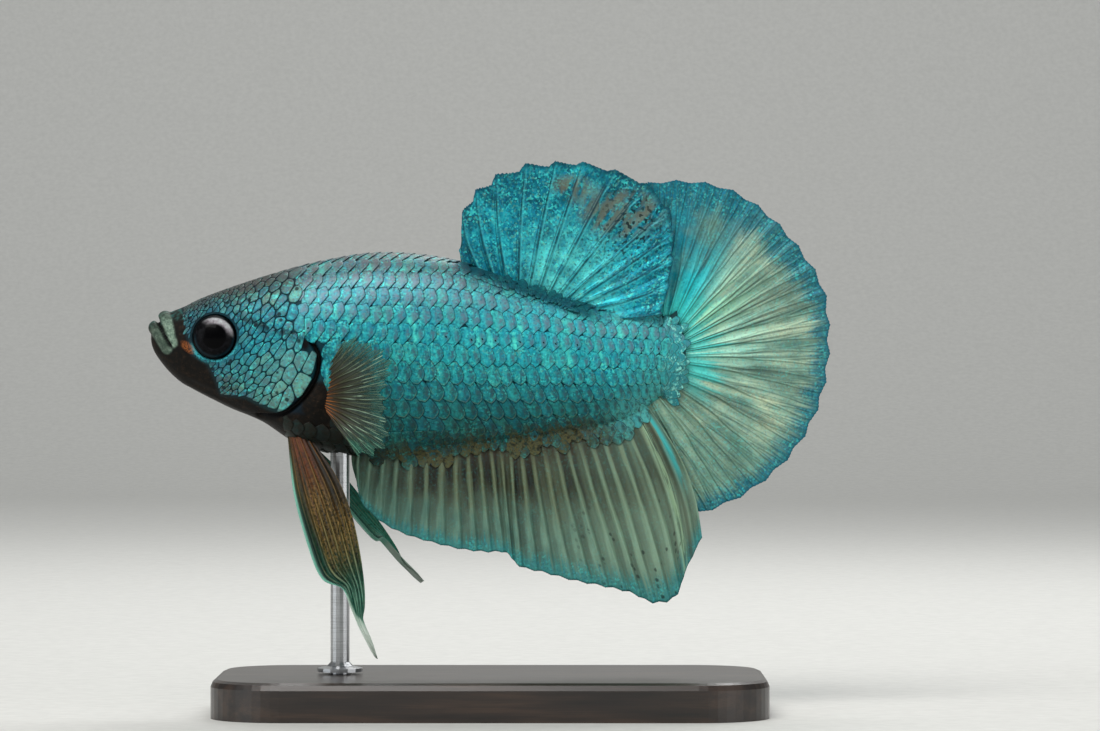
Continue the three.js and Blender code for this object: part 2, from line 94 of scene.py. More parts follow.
def through(values, at):
    """A smooth curve through evenly spaced values, read at places counted in values."""
    values = np.asarray(values, float)
    at = np.asarray(at, float)
    last = len(values) - 1
    i = np.clip(np.floor(at).astype(int), 0, last - 1)
    t = at - i
    a, b, c, d = (values[np.clip(i + k, 0, last)] for k in (-1, 0, 1, 2))
    if values.ndim > 1:
        t = t[..., None]
    slopes = (c - a) * t + (2 * a - 5 * b + 4 * c - d) * t * t
    return 0.5 * (2 * b + slopes + (3 * b - a - 3 * c + d) * t**3)


def swing(x):
    return tail_swing * (np.maximum(0, x - swing_start) / (standard_length - swing_start)) ** 2


def rise(value, low, high):
    share = np.clip((value - low) / (high - low), 0, 1)
    return share * share * (3 - 2 * share)


def bell(value, centre, width):
    return np.exp(-(((value - centre) / width) ** 2))


def body_point(station, angle):
    station, angle = np.broadcast_arrays(station, angle)
    back = through(back_line, station)
    belly = through(belly_line, station)
    across = np.cos(angle)
    up = np.sin(angle)
    level = up + through(widest_levels, station) * (1 - up * up)
    fullness = np.where(up > 0, through(crowns, station), through(keels, station))
    spot = belly + (back - belly) * ((1 + level) / 2)[..., None]
    width = through(half_widths, station) * np.sign(across) * np.abs(across) ** fullness
    return np.stack([spot[..., 0], swing(spot[..., 0]) - width, spot[..., 1]], -1)


# The left flank opened out: rows along the body, columns by equal steps down its side.
station_count = 520
steps_down = 128
ring_samples = 500
stations = np.linspace(0.02, last_station - 0.02, station_count)
ring = body_point(stations[:, None], np.linspace(math.pi / 2, -math.pi / 2, ring_samples))
ring_steps = np.linalg.norm(np.diff(ring, axis=1, prepend=ring[:, :1]), axis=2)
ring_arc = np.cumsum(ring_steps, axis=1)
girth = ring_arc[:, -1]
flank = np.stack([
    np.stack([np.interp(np.linspace(0, girth[i], steps_down + 1), ring_arc[i], ring[i, :, k])
              for k in range(3)], -1)
    for i in range(station_count)
])
flank_out = np.cross(np.gradient(flank, axis=1), np.gradient(flank, axis=0))
flank_out[:, (0, -1), 1] = 0
flank_out /= np.linalg.norm(flank_out, axis=2, keepdims=True)
if flank_out[station_count // 2, steps_down // 2, 1] > 0:
    flank_out = -flank_out
middle_row = flank[:, steps_down // 2]
run = np.cumsum(np.linalg.norm(np.diff(middle_row, axis=0, prepend=middle_row[:1]), axis=1))


def on_flank(along, down, lift, side):
    """A place on the body, from the way along it and down from its back."""
    along, down, lift, side = np.broadcast_arrays(along, down, lift, side)
    i = np.clip(np.interp(along, run, np.arange(station_count)), 0, station_count - 1.001)
    share = down / np.interp(along, run, girth)
    side = np.where((share < 0) | (share > 1), -side, side)
    share = np.abs(share)
    share = np.where(share > 1, 2 - share, share)
    j = np.clip(share, 0, 1) * (steps_down - 0.001)
    i0 = i.astype(int)
    j0 = j.astype(int)
    s = (i - i0)[..., None]
    t = (j - j0)[..., None]

    def read(table):
        near = table[i0, j0] * (1 - t) + table[i0, j0 + 1] * t
        far = table[i0 + 1, j0] * (1 - t) + table[i0 + 1, j0 + 1] * t
        return near * (1 - s) + far * s

    spot = read(flank) + read(flank_out) * lift[..., None]
    spot[..., 1] = np.where(side < 0, spot[..., 1], 2 * swing(spot[..., 0]) - spot[..., 1])
    return spot


tail_start = 42.9
tail_length = 3.4
fan_middle = np.array([39.4, -0.9])
tail_row = int(np.argmin(np.abs(middle_row[:, 0] - tail_start)))


def on_tail(along, down, lift, side):
    """A place on the tail stem's end, where it thins into the tail fin and fans with it."""
    along, down, lift, side = np.broadcast_arrays(along, down, lift, side)
    j = np.clip(down / girth[tail_row], 0, 1) * steps_down
    row = flank[tail_row]
    hinge = np.stack([np.interp(j, np.arange(steps_down + 1), row[:, k]) for k in range(3)], -1)
    ahead = hinge[..., ::2] - fan_middle
    ahead /= np.linalg.norm(ahead, axis=-1, keepdims=True)
    spot = hinge[..., ::2] + ahead * along[..., None]
    thin = 1 - rise(along, 0, tail_length)
    half = (swing(hinge[..., 0]) - hinge[..., 1]) * thin + coat_depth * (1 - thin) + lift
    sway = 0.7 * rise(along, 0, 14) * np.sin(5 * (1 - down / girth[tail_row]) + 0.6)
    return np.stack([spot[..., 0], swing(spot[..., 0]) + sway + side * half, spot[..., 1]], -1)


def on_body(along, down, lift, side):
    """A place on the flank, carried on over the tail stem's thin end."""
    along, down, lift, side = np.broadcast_arrays(along, down, lift, side)
    past = along - run[tail_row]
    ahead = on_flank(np.minimum(along, run[tail_row]), down, lift, side)
    behind = on_tail(np.maximum(past, 0), down, lift, side)
    return np.where((past > 0)[..., None], behind, ahead)


def line_distance(x, z, path):
    """Distance to a path, positive on the left of its direction."""
    best = np.full(np.shape(x), 1e9)
    signed = np.zeros(np.shape(x))
    for (ax, az), (bx, bz) in zip(path[:-1], path[1:]):
        dx, dz = bx - ax, bz - az
        t = np.clip(((x - ax) * dx + (z - az) * dz) / (dx * dx + dz * dz), 0, 1)
        gap = np.hypot(x - ax - t * dx, z - az - t * dz)
        closer = gap < best - 1e-9
        best = np.where(closer, gap, best)
        signed = np.where(closer, gap * np.sign((z - az) * dx - (x - ax) * dz), signed)
    return signed


def down_share(points):
    """How far down a point lies in side view, from 0 on the back to 1 on the belly."""
    top = np.interp(points[..., 0], flank[:, 0, 0], flank[:, 0, 2])
    low = np.interp(points[..., 0], np.maximum.accumulate(flank[:, -1, 0]), flank[:, -1, 2])
    return np.clip((top - points[..., 2]) / np.maximum(top - low, 0.3), 0, 1)


def body_half(x, z):
    """The body's half width at a place in side view."""
    rows = np.interp(x, middle_row[:, 0], np.arange(station_count)).astype(int)
    halves = swing(flank[..., 0]) - flank[..., 1]
    found = [np.interp(-level, -flank[row, :, 2], halves[row]) for row, level in zip(rows.flat, z.flat)]
    return np.reshape(found, np.shape(x))


gill_edge = through(
    [(13.0, 0.95), (13.55, 0.1), (14.05, -0.95), (13.95, -2.3), (13.3, -3.65), (12.15, -4.9),
     (10.9, -5.6), (9.5, -5.6)],
    np.linspace(0, 7, 29),
).tolist()
cheek_edge = [
    (3.3, 0.9), (3.75, -0.75), (5.0, -1.5), (5.65, -2.8), (6.1, -4.1), (8.3, -4.35), (9.4, -4.9),
    (10.9, -5.5), (13.5, -5.6),
]
mouth_corner = np.array([1.95, -0.35])
mouth_front = np.array([0.62, 2.1])
mouth_run = (mouth_front - mouth_corner) / np.linalg.norm(mouth_front - mouth_corner)
upper_lip = [(2.3, 1.6, 0.15), (1.9, 1.35, 1.3), (1.5, 0.8, 2.05), (1.28, 0, 2.25)]
lower_lip = [(1.6, 1.52, -0.2), (1.05, 1.25, 0.65), (0.66, 0.75, 1.25), (0.5, 0, 1.45)]
lip_radius = 0.64
lip_rings = 61
lip_sides = 20


def lip_middle(half_path):
    path = [(x, -y, z) for x, y, z in half_path] + [(x, y, z) for x, y, z in half_path[-2::-1]]
    return through(path, np.linspace(0, len(path) - 1, lip_rings))


def lip_tube(half_path):
    middle = lip_middle(half_path)
    ahead = np.gradient(middle, axis=0)
    first = np.cross(ahead, (0.0, 0.0, 1.0))
    first /= np.linalg.norm(first, axis=1, keepdims=True)
    second = np.cross(ahead, first)
    second /= np.linalg.norm(second, axis=1, keepdims=True)
    turn = np.linspace(0, 2 * math.pi, lip_sides, endpoint=False)[None, :, None]
    around = first[:, None] * np.cos(turn) + second[:, None] * np.sin(turn)
    taper = 1 - 0.45 * np.abs(np.linspace(-1, 1, lip_rings)) ** 1.6
    return middle[:, None] + around * (lip_radius * taper)[:, None, None]


def tube_faces(count, sides, first=0):
    i, j = np.meshgrid(np.arange(count - 1), np.arange(sides), indexing="ij")
    k = (j + 1) % sides
    quads = np.stack([i * sides + j, i * sides + k, (i + 1) * sides + k, (i + 1) * sides + j], -1)
    caps = [np.arange(sides)[::-1], (count - 1) * sides + np.arange(sides)]
    return (quads.reshape(-1, 4) + first).tolist() + [(cap + first).tolist() for cap in caps]


def add_object(name, data):
    made = bpy.data.objects.new(name, data)
    bpy.context.scene.collection.objects.link(made)
    return made


def read_all(items, key, kind, width):
    """One property of all of a mesh's vertices or loops, as rows of numbers."""
    values = np.empty(len(items) * (3 if kind is float else 1), kind)
    items.foreach_get(key, values)
    return values.reshape(-1, width)


def relief(points):
    """How far the skin's own forms stand out from the smooth body, and painted shade in its deep places.
    """
    x, y, z = np.moveaxis(points, -1, 0)
    off_middle = np.abs(y - swing(x))
    along_mouth = (x - mouth_corner[0]) * mouth_run[0] + (z - mouth_corner[1]) * mouth_run[1]
    off_mouth = (x - mouth_corner[0]) * mouth_run[1] - (z - mouth_corner[1]) * mouth_run[0]
    slit = bell(off_mouth, 0, 0.13) * rise(along_mouth, -0.5, 0.5)
    to_eye = np.hypot(x - eye_x, z - eye_z)
    brow = bell(to_eye, ball_radius + 0.2, 0.15) * rise(off_middle, 1.2, 2.0)
    behind = line_distance(x, z, gill_edge)
    on_side = rise(off_middle, 0.7, 1.6) * (1 - rise(z, 1.5, 2.4))
    cover = 0.13 * rise(behind, -3.2, -0.1) * (behind < 0)
    crevice = bell(behind, 0.24, 0.22) * (behind > -0.02) * on_side * (1 - rise(z, 0.2, 0.9))
    nostril = np.hypot(x - 3.25, z - 2.05)
    nostrils = 0.07 * bell(nostril, 0.3, 0.12) - 0.16 * bell(nostril, 0, 0.15)
    throat = rise(-z - 0.62 * (x - 2.0), 1.2, 2.2) * (1 - rise(x, 9.0, 10.5))
    folds = 0.04 * np.sin((z + 0.45 * x) * 7.5) * throat * rise(x, 2.5, 4.0)
    cheek_bone = bell(line_distance(x, z, [(6.9, -0.6), (7.6, -2.4), (7.9, -3.8)]), 0, 0.2)
    fin_root = bell(x, 14.2, 0.9) * bell(z, -4.6, 1.3) * rise(off_middle, 2, 3)
    slot = bell(x, 13.2, 0.4) * bell(z, 0.05, 0.6) * on_side
    lift = on_side * cover - 0.42 * crevice - 0.34 * slit - folds + 0.05 * brow + 0.3 * fin_root
    lift += nostrils * rise(off_middle, 0.5, 0.9) - 0.05 * cheek_bone * on_side
    # The second value is painted shade: near-black in the mouth slit, the gill crevice and its upper end.
    return lift, np.clip(1.3 * slit + 1.5 * rise(crevice, 0.25, 0.7) + 1.2 * slot, 0, 1)


sunk = np.maximum(coat_depth * rise(flank[..., 0], 11, 14), face_depth * rise(flank[..., 0], 2.6, 3.6))
inner = flank - flank_out * sunk[..., None]
mirrored = inner[:, -2:0:-1].copy()
mirrored[..., 1] = 2 * swing(mirrored[..., 0]) - mirrored[..., 1]
rings = np.concatenate([inner, mirrored], axis=1)
wedge_along = np.linspace(-1.2, 0.42 * tail_length, 30)[:, None]
wedge_down = np.linspace(0.12, 0.8, 41)[None] * girth[tail_row]
wedge = [on_tail(wedge_along, wedge_down, -coat_depth, side) for side in (-1, 1)]
wedge = np.concatenate([wedge[0], wedge[1][:, ::-1]], axis=1)
solid_blocks = [rings, lip_tube(upper_lip), lip_tube(lower_lip), wedge]
solid_points, solid_faces = np.zeros((0, 3)), []
for block in solid_blocks:
    solid_faces += tube_faces(block.shape[0], block.shape[1], len(solid_points))
    solid_points = np.concatenate([solid_points, block.reshape(-1, 3)])
mesh = bpy.data.meshes.new("skin core")
mesh.from_pydata(solid_points.tolist(), [], solid_faces)
core = add_object("skin core", mesh)
remesh = core.modifiers.new("one skin", "REMESH")
remesh.mode = "VOXEL"
remesh.voxel_size = skin_voxel
soften = core.modifiers.new("soften", "SMOOTH")
soften.factor = 0.5
soften.iterations = 3
shaped = core.evaluated_get(bpy.context.evaluated_depsgraph_get()).to_mesh()
skin_points = read_all(shaped.vertices, "co", float, 3)
skin_normals = read_all(shaped.vertices, "normal", float, 3)
skin_faces = read_all(shaped.loops, "vertex_index", int, 4)
bpy.data.objects.remove(core)

x, y, z = skin_points.T
off_middle = y - swing(x)
lift, deep = relief(skin_points)
to_eye = np.hypot(x - eye_x, z - eye_z)
socket = 1 - rise(to_eye, ball_radius - 0.12, ball_radius + 0.06)
skin_points = skin_points + skin_normals * lift[:, None]
skin_points[:, 1] -= np.sign(off_middle) * 0.75 * socket * rise(np.abs(off_middle), 1.2, 2.0)
bare = 1 - rise(line_distance(x, z, cheek_edge), -0.35, 0.1)
bare = np.maximum(bare, 1 - rise(np.hypot((x - 14.3) / 1.5, (z + 4.9) / 2.0), 0.8, 1.1))
near_mouth = (x < 3.2) & (z > -1.2)
lip_gaps = [
    np.linalg.norm(skin_points[near_mouth][:, None] - lip_middle(path)[None], axis=2).min(axis=1)
    for path in (upper_lip, lower_lip)
]
lips_on = np.zeros(len(x))
lips_on[near_mouth] = 1 - rise(np.minimum(*lip_gaps), 0.5, 0.66)


def add_piece(name, points, faces, finish, charts=(), marks=()):
    """A mesh piece from points in the fish's own millimetres and arrays of faces."""
    mesh = bpy.data.meshes.new(name)
    faces = [np.asarray(block) for block in faces if len(block)]
    corners = np.concatenate([block.ravel() for block in faces])
    totals = np.concatenate([np.full(len(block), block.shape[1]) for block in faces])
    mesh.vertices.add(len(points))
    mesh.vertices.foreach_set("co", on_stand(points).ravel())
    mesh.loops.add(len(corners))
    mesh.loops.foreach_set("vertex_index", corners)
    mesh.polygons.add(len(totals))
    mesh.polygons.foreach_set("loop_start", np.concatenate([[0], np.cumsum(totals)[:-1]]))
    mesh.polygons.foreach_set("loop_total", totals)
    mesh.update(calc_edges=True)
    mesh.polygons.foreach_set("use_smooth", np.ones(len(totals), bool))
    for chart, places in charts:
        layer = mesh.uv_layers.new(name=chart)
        places = places[corners] if len(places) == len(points) else places
        layer.data.foreach_set("uv", np.asarray(places).ravel())
    for mark_name, values in marks:
        kept = mesh.attributes.new(mark_name, "FLOAT", "POINT")
        kept.data.foreach_set("value", np.asarray(values, float).ravel())
    mesh.materials.append(finish)
    made = add_object(name, mesh)
    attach(made, "root")
    return made


class Tone:
    """A number, vector or colour on its way through a finish."""

    def __init__(self, tree, socket=None):
        self.tree = tree
        self.socket = socket

    def node(self, kind, settings, values, output=0):
        made = self.tree.nodes.new("ShaderNode" + kind)
        for key, value in settings.items():
            if key == "stops":
                stops = made.color_ramp.elements
                stops.remove(stops[1])
                stops[0].position, stops[0].color = value[0][0], paint(*value[0][1:])
                for stop, *pigment in value[1:]:
                    stops.new(stop).color = paint(*pigment)
            else:
                setattr(made, key, value)
        for key, value in values.items():
            if isinstance(value, Tone):
                self.tree.links.new(value.socket, made.inputs[key])
            else:
                made.inputs[key].default_value = value
        return Tone(self.tree, made.outputs[output])

    def maths(self, operation, *values):
        return self.node("Math", {"operation": operation}, dict(enumerate(values)))

    def __add__(self, other):
        return self.maths("ADD", self, other)

    def __radd__(self, other):
        return self.maths("ADD", other, self)

    def __sub__(self, other):
        return self.maths("SUBTRACT", self, other)

    def __rsub__(self, other):
        return self.maths("SUBTRACT", other, self)

    def __mul__(self, other):
        return self.maths("MULTIPLY", self, other)

    def __rmul__(self, other):
        return self.maths("MULTIPLY", other, self)

    def __truediv__(self, other):
        return self.maths("DIVIDE", self, other)

    def __pow__(self, other):
        return self.maths("POWER", self, other)

    def __mod__(self, other):
        return self.maths("FLOORED_MODULO", self, other)

    def __abs__(self):
        return self.maths("ABSOLUTE", self)

    def rise(self, low, high):
        settings = {"interpolation_type": "SMOOTHSTEP"}
        return self.node("MapRange", settings, {"Value": self, "From Min": low, "From Max": high})

    def fall(self, low, high):
        return 1 - self.rise(low, high)

    def bell(self, centre, width):
        off = (self - centre) / width
        return self.maths("EXPONENT", off * off * -1.0)

    def mix(self, other, share):
        return self.node("Mix", {"data_type": "RGBA"}, {0: share, 6: self, 7: other}, 2)

    def coats(self, layers):
        """Pigments laid over a colour one by one, each with its share."""
        mixed = self
        for *pigment, share in layers:
            mixed = mixed.mix(paint(*pigment), share)
        return mixed

    def noise(self, scale, detail=2.0, stretch=(1, 1, 1)):
        spot = self.node("VectorMath", {"operation": "MULTIPLY"}, {0: self, 1: stretch})
        return self.node("TexNoise", {}, {"Vector": spot, "Scale": scale, "Detail": detail})

    def cells(self, scale, output="Distance"):
        return self.node("TexVoronoi", {}, {"Vector": self, "Scale": scale}, output)

    def colour(self, stops):
        return self.node("ValToRGB", {"stops": stops}, {0: self})

    def part(self, axis):
        return self.node("SeparateXYZ", {}, {0: self}, axis)

    def mark(self, name):
        return self.node("Attribute", {"attribute_name": name}, {}, "Fac")


def paint(red, green, blue):
    """A pigment, from its usual 0 to 255 values."""
    parts = [value / 255 for value in (red, green, blue)]
    return (*[v / 12.92 if v <= 0.04045 else ((v + 0.055) / 1.055) ** 2.4 for v in parts], 1.0)


def shimmer(place, colour, share):
    """Fine grains of blue, green and bare dark skin that make a surface glitter."""
    grains = place.cells(6.5, "Color")
    red, green, blue = (grains.part(axis) for axis in "XYZ")
    bunch = place.noise(0.9, 3.0).rise(0.38, 0.66)
    colour = colour.coats([
        (78, 236, 228, red.rise(0.62, 0.95) * share * (0.24 + 0.5 * bunch)),
        (12, 122, 176, green.rise(0.6, 1.0) * share * 0.4),
        (122, 180, 136, blue.rise(0.7, 1.0) * share * (0.15 + 0.3 * bunch)),
    ])
    return colour.mix(paint(4, 54, 68), red.fall(0.0, 0.36) * share * 0.6), red


def start_finish(name):
    """A new finish, with the place on the fish in its own millimetres."""
    material = bpy.data.materials.new(name)
    material.use_nodes = True
    start = Tone(material.node_tree)
    place = start.node("TexCoord", {}, {}, "Object")
    scaled = start.node("VectorMath", {"operation": "SCALE"}, {0: place, "Scale": 1000.0})
    place = start.node("VectorMath", {"operation": "ADD"}, {0: scaled, 1: tuple(-stand_offset)})
    return material, place


def close_finish(material, values, bump=None, strength=0.3, reach=0.0001):
    start = Tone(material.node_tree)
    if bump is not None:
        settings = {"Strength": strength, "Distance": reach, "Height": bump}
        values = {**values, "Normal": start.node("Bump", {}, settings)}
    shader = material.node_tree.nodes["Principled BSDF"]
    for key, value in values.items():
        if isinstance(value, Tone):
            material.node_tree.links.new(value.socket, shader.inputs[key])
        else:
            shader.inputs[key].default_value = value
    return material


def off_eye(place):
    """In a finish, how far a place lies from the eye's middle in side view."""
    x, z = place.part("X") - eye_x, place.part("Z") - eye_z
    return (x * x + z * z) ** 0.5


def body_markings(place, down):
    """Body colours for skin and scales: mauve back, cyan flank, dark belly, some of it painted shade."""
    x = place.part("X")
    z = place.part("Z")
    level = down + (place.noise(0.55) - 0.5) * 0.16
    # Down the trunk the colour darkens towards the belly: partly its own colour, partly painted shade on
    # the less lit lower flank.
    trunk = level.colour([
        (0.0, 88, 88, 84), (0.05, 102, 110, 110), (0.12, 92, 140, 146), (0.3, 46, 138, 154),
        (0.45, 26, 146, 160), (0.58, 20, 130, 138), (0.7, 20, 100, 106), (0.82, 20, 86, 88),
        (0.93, 38, 80, 70), (1.0, 68, 66, 42),
    ])
    face = level.colour([
        (0.0, 64, 64, 60), (0.07, 66, 80, 76), (0.16, 56, 102, 104), (0.3, 36, 122, 136),
        (0.45, 34, 130, 144), (0.62, 46, 130, 136), (0.85, 68, 124, 114), (1.0, 56, 90, 78),
    ])
    colour = trunk.mix(face, x.fall(9.5, 14.5))
    breast = (x + 0.25 * z).fall(14.0, 19.5) * (z - 0.05 * x).fall(-5.4, -3.2)
    # Along the dorsal fin's base the body turns dark teal: partly its own colour, partly painted shade
    # under the fin.
    dorsal_base_teal_and_shade = x.rise(24.0, 28.0) * (z + 0.38 * x - 15.6).rise(-0.3, 0.9)
    colour = colour.coats([
        (70, 78, 72, 0.75 - 0.75 * (x + 0.5 * z).rise(4.2, 7.6)),
        (34, 30, 23, breast * x.rise(10.6, 12.2)),
        (24, 196, 216, x.bell(34.0, 8.0) * z.bell(2.0, 3.2) * 0.6),
        (22, 104, 120, dorsal_base_teal_and_shade * x.fall(36.0, 38.5) * 0.7),
        (76, 178, 174, x.rise(38.0, 43.0) * 0.55),
        (96, 196, 192, x.bell(41.0, 2.4) * z.bell(-6.0, 1.5) * 0.7),
    ])
    # Just behind the gill cover the body is darkened with painted shade.
    return colour.mix(paint(14, 52, 60), x.bell(14.9, 1.5) * z.bell(-0.5, 1.7) * 0.65)


skin_finish, place = start_finish("bare skin")
px, pz = place.part("X"), place.part("Z")
mottle = place.noise(2.6, 4.0)
fine = place.noise(9.0, 3.0)
between = body_markings(place, place.mark("down")).mix(paint(4, 26, 38), 0.86)
bare_colour = mottle.colour([(0.3, 8, 7, 6), (0.5, 16, 13, 9), (0.62, 27, 20, 14), (0.75, 40, 32, 24)])
freckles = place.cells(3.4).fall(0.05, 0.16) * pz.fall(-2.5, -0.5)
bare_colour = bare_colour.mix(paint(92, 70, 50), freckles * 0.4)
muzzle = mottle.colour([(0.35, 20, 22, 20), (0.5, 36, 50, 46), (0.65, 44, 88, 84)])
bare_colour = bare_colour.mix(muzzle, (pz - 0.25 * px).rise(1.2, 1.8))
lip_colour = (mottle * 0.6 + fine * 0.4).colour([
    (0.36, 64, 82, 72), (0.5, 108, 130, 114), (0.62, 148, 170, 152),
])
upper_side = (px * 0.88 + pz * 0.47 - 1.55).rise(-0.45, 0.35)
lip_colour = lip_colour.mix(paint(30, 40, 34), 0.6 - 0.6 * upper_side)
bare_colour = bare_colour.mix(lip_colour, place.mark("lips"))
colour = between.mix(bare_colour, place.mark("bare"))
eye_gap = off_eye(place)
under_eye = eye_gap.bell(2.06, 0.16) * pz.fall(-0.6, 0.4) * fine.rise(0.35, 0.5)
slant = (px - 3.35) * 0.75 + (pz + 0.2) * -0.66
rust = (slant * slant + ((px - 3.35) * 0.66 + (pz + 0.2) * 0.75) ** 2.0 * 4.0).fall(0.1, 0.75)
colour = colour.coats([
    (64, 176, 186, under_eye),
    (8, 12, 14, eye_gap.fall(1.84, 1.92)),
    (150, 86, 44, rust * fine.rise(0.42, 0.54) * 0.85),
    # Painted shade: near-black in the mouth slit and the gill crevice.
    (5, 5, 6, place.mark("deep")),
])
close_finish(skin_finish, {
    "Base Color": colour, "Roughness": 0.46 + 0.2 * mottle, "Specular IOR Level": 0.12,
}, fine * 0.5 + place.cells(5.0) * 0.6, 0.35, 0.00006)

near = np.interp(x, middle_row[:, 0], np.arange(station_count))
tall = np.interp(near, np.arange(station_count), (flank[:, 0, 2] - flank[:, -1, 2]) / 2)
centre = np.interp(near, np.arange(station_count), (flank[:, 0, 2] + flank[:, -1, 2]) / 2)
wide = np.interp(near, np.arange(station_count), (swing(flank[..., 0]) - flank[..., 1]).max(axis=1))
turned = np.arctan2((z - centre) / np.maximum(tall, 0.4), np.abs(off_middle) / np.maximum(wide, 0.3))
half_way = 0.5 * (0.5 - turned / math.pi)
round_body = np.where(off_middle < 0, half_way, 1 - half_way)
spread = round_body[skin_faces]
spread = np.where(np.ptp(spread, axis=1)[:, None] > 0.5,
                  spread + np.where(spread.mean(axis=1)[:, None] < 0.5, -1.0, 1.0)
                  * (np.abs(spread - spread.mean(axis=1)[:, None].round()) > 0.5), spread)
skin_chart = np.stack([0.01 + 0.98 * (x[skin_faces] + 0.2) / 45.6, 0.01 + 0.98 * spread], -1)
skin = add_piece(
    "body_skin", skin_points, [skin_faces], skin_finish,
    [("OFBake", np.clip(skin_chart, 0.001, 0.999).reshape(-1, 2))],
    [("down", down_share(skin_points)), ("bare", bare), ("lips", lips_on), ("deep", deep)],
)
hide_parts("head", "upper_jaw", "lower_jaw", "trunk", "tail_stem",
            "gill_cover_left", "gill_cover_right")

# ---------------------------------------------------------------------------------------
# Flank scales. Thin bony plates, each rooted under the one ahead and free at its rear rim,
# in staggered rows that follow the lateral line. They end at the roots of the fins, and a
# single row closes them along the back and the belly.
column_steps = [(8, 0.95), (13, 1.0), (17, 1.06), (32, 1.05), (37, 0.95), (41, 0.86), (45, 0.66)]
row_heights = [(10, 1.3), (17, 1.52), (28, 1.55), (36, 1.38), (45, 1.15)]
row_reach = 0.66
lateral_line = [
    (0, 1.9), (10, 1.45), (14, 1.15), (20, 0.85), (25, 0.72), (32, 0.35), (38, -0.05), (46, -0.55),
]
scale_slope = 0.085
scale_thickness = 0.036
nape_line = [(0.8, 13.2), (1.8, 12.9), (4.0, 12.6), (9.0, 12.2)]
dorsal_root = (26.6, 35.6)
anal_root = (17.2, 41.4)
rim_steps = 24
ring_shares = np.array([0.42, 0.72, 0.9, 1.0])
rng = np.random.default_rng(11)


def plate_faces(count):
    """Faces of many plates: a crowned top in rings, a rim, and a flat underside."""
    j = np.arange(rim_steps)
    k = (j + 1) % rim_steps
    top = np.stack([np.zeros_like(j), 1 + j, 1 + k], -1)
    quads = [
        np.stack([1 + r * rim_steps + j, 1 + (r + 1) * rim_steps + j,
                  1 + (r + 1) * rim_steps + k, 1 + r * rim_steps + k], -1)
        for r in range(len(ring_shares))
    ]
    base = 1 + len(ring_shares) * rim_steps
    under = np.stack([np.full_like(j, base + rim_steps), base + k, base + j], -1)
    step = (np.arange(count) * (base + rim_steps + 1))[:, None, None]
    return [(np.concatenate([block, under]) if block is top else block)[None] + step
            for block in [top, np.concatenate(quads)]]


def scale_plates(name, centres, outlines, heights, thickness, crown, side, finish, tones, pored=None,
                 surface=on_flank):
    """Plates over the skin: outlines are steps along and down the body from each centre."""
    count = len(centres)
    shares = np.concatenate([[0], np.repeat(ring_shares, rim_steps), np.full(rim_steps, 1.0), [0]])
    spokes = np.concatenate([[0], np.tile(np.arange(rim_steps), len(ring_shares) + 1), [0]])
    steps = outlines[:, spokes] * shares[None, :, None]
    under = np.zeros(len(shares), bool)
    under[-rim_steps - 1:] = True
    along = centres[:, None, 0] + steps[..., 0]
    down = centres[:, None, 1] + steps[..., 1]
    front = outlines[..., 0].min(axis=1)[:, None]
    rear = outlines[..., 0].max(axis=1)[:, None]
    lift = heights[:, :1] + heights[:, 1:] * (steps[..., 0] - front)
    lift = lift + crown * (1 - shares**2) - 0.4 * thickness * (shares == 1) * ~under
    lift = np.where(under, lift - crown * (1 - shares**2) - thickness, lift)
    points = surface(along, down, lift, side)
    forms, _ = relief(surface(along, down, 0.0, side))
    normals = surface(along, down, 1.0, side) - surface(along, down, 0.0, side)
    points = points + normals * (np.maximum(forms, -0.05) * (points[..., 0] < 14.2))[..., None]
    faces = [block.reshape(-1, block.shape[-1]) for block in plate_faces(count)]
    if side > 0:
        faces = [block[:, ::-1] for block in faces]
    fore = 2 * (steps[..., 0] - front) / (rear - front) - 1
    tall = steps[..., 1] / np.abs(outlines[..., 1]).max(axis=1)[:, None]
    low, high = centres.min(axis=0), centres.max(axis=0)
    chart = 0.03 + 0.94 * (centres[:, None] + 0.52 * steps - low) / (high - low)
    marks = [
        ("fore", fore), ("tall", tall), ("inner", np.broadcast_to(1 - shares, fore.shape)),
        ("tone", np.broadcast_to(tones[:, None], fore.shape)),
        ("down", down_share(surface(centres[:, 0], centres[:, 1], 0.0, -1))[:, None] * 0.6
         + 0.4 * down_share(points)),
    ]
    if pored is not None:
        marks.append(("pored", np.broadcast_to(pored[:, None], fore.shape)))
    made = add_piece(
        name, points.reshape(-1, 3), faces, finish,
        [("OFBake", np.clip(chart, 0.002, 0.998).reshape(-1, 2))],
        [(label, np.asarray(values).ravel()) for label, values in marks],
    )
    return made


def leaf_outlines(width, half_height, curve, slant=0.0):
    """A scale's outline: blunt at the rooted front, a tall leaf's edge at the free rear."""
    width, half_height, curve = (np.reshape(value, (-1, 1)) for value in (width, half_height, curve))
    tall = np.sin(np.linspace(-1, 1, rim_steps // 2 + 1) * math.pi / 2)[None]
    bulge = 0.62 - 0.52 * np.abs(tall) ** curve
    leant = -np.reshape(slant, (-1, 1)) * tall * (1 - 0.4 * np.abs(tall))
    rear_edge = np.stack([width * (bulge + leant), half_height * tall], -1)
    turn = np.linspace(math.pi / 2, 3 * math.pi / 2, rim_steps // 2 + 1)[1:-1][None]
    front_edge = np.stack([width * (0.1 + 1.05 * np.cos(turn)), half_height * np.sin(turn)], -1)
    return np.concatenate([rear_edge, front_edge], axis=1)


def step_at(table, along):
    return np.interp(along, *zip(*table))


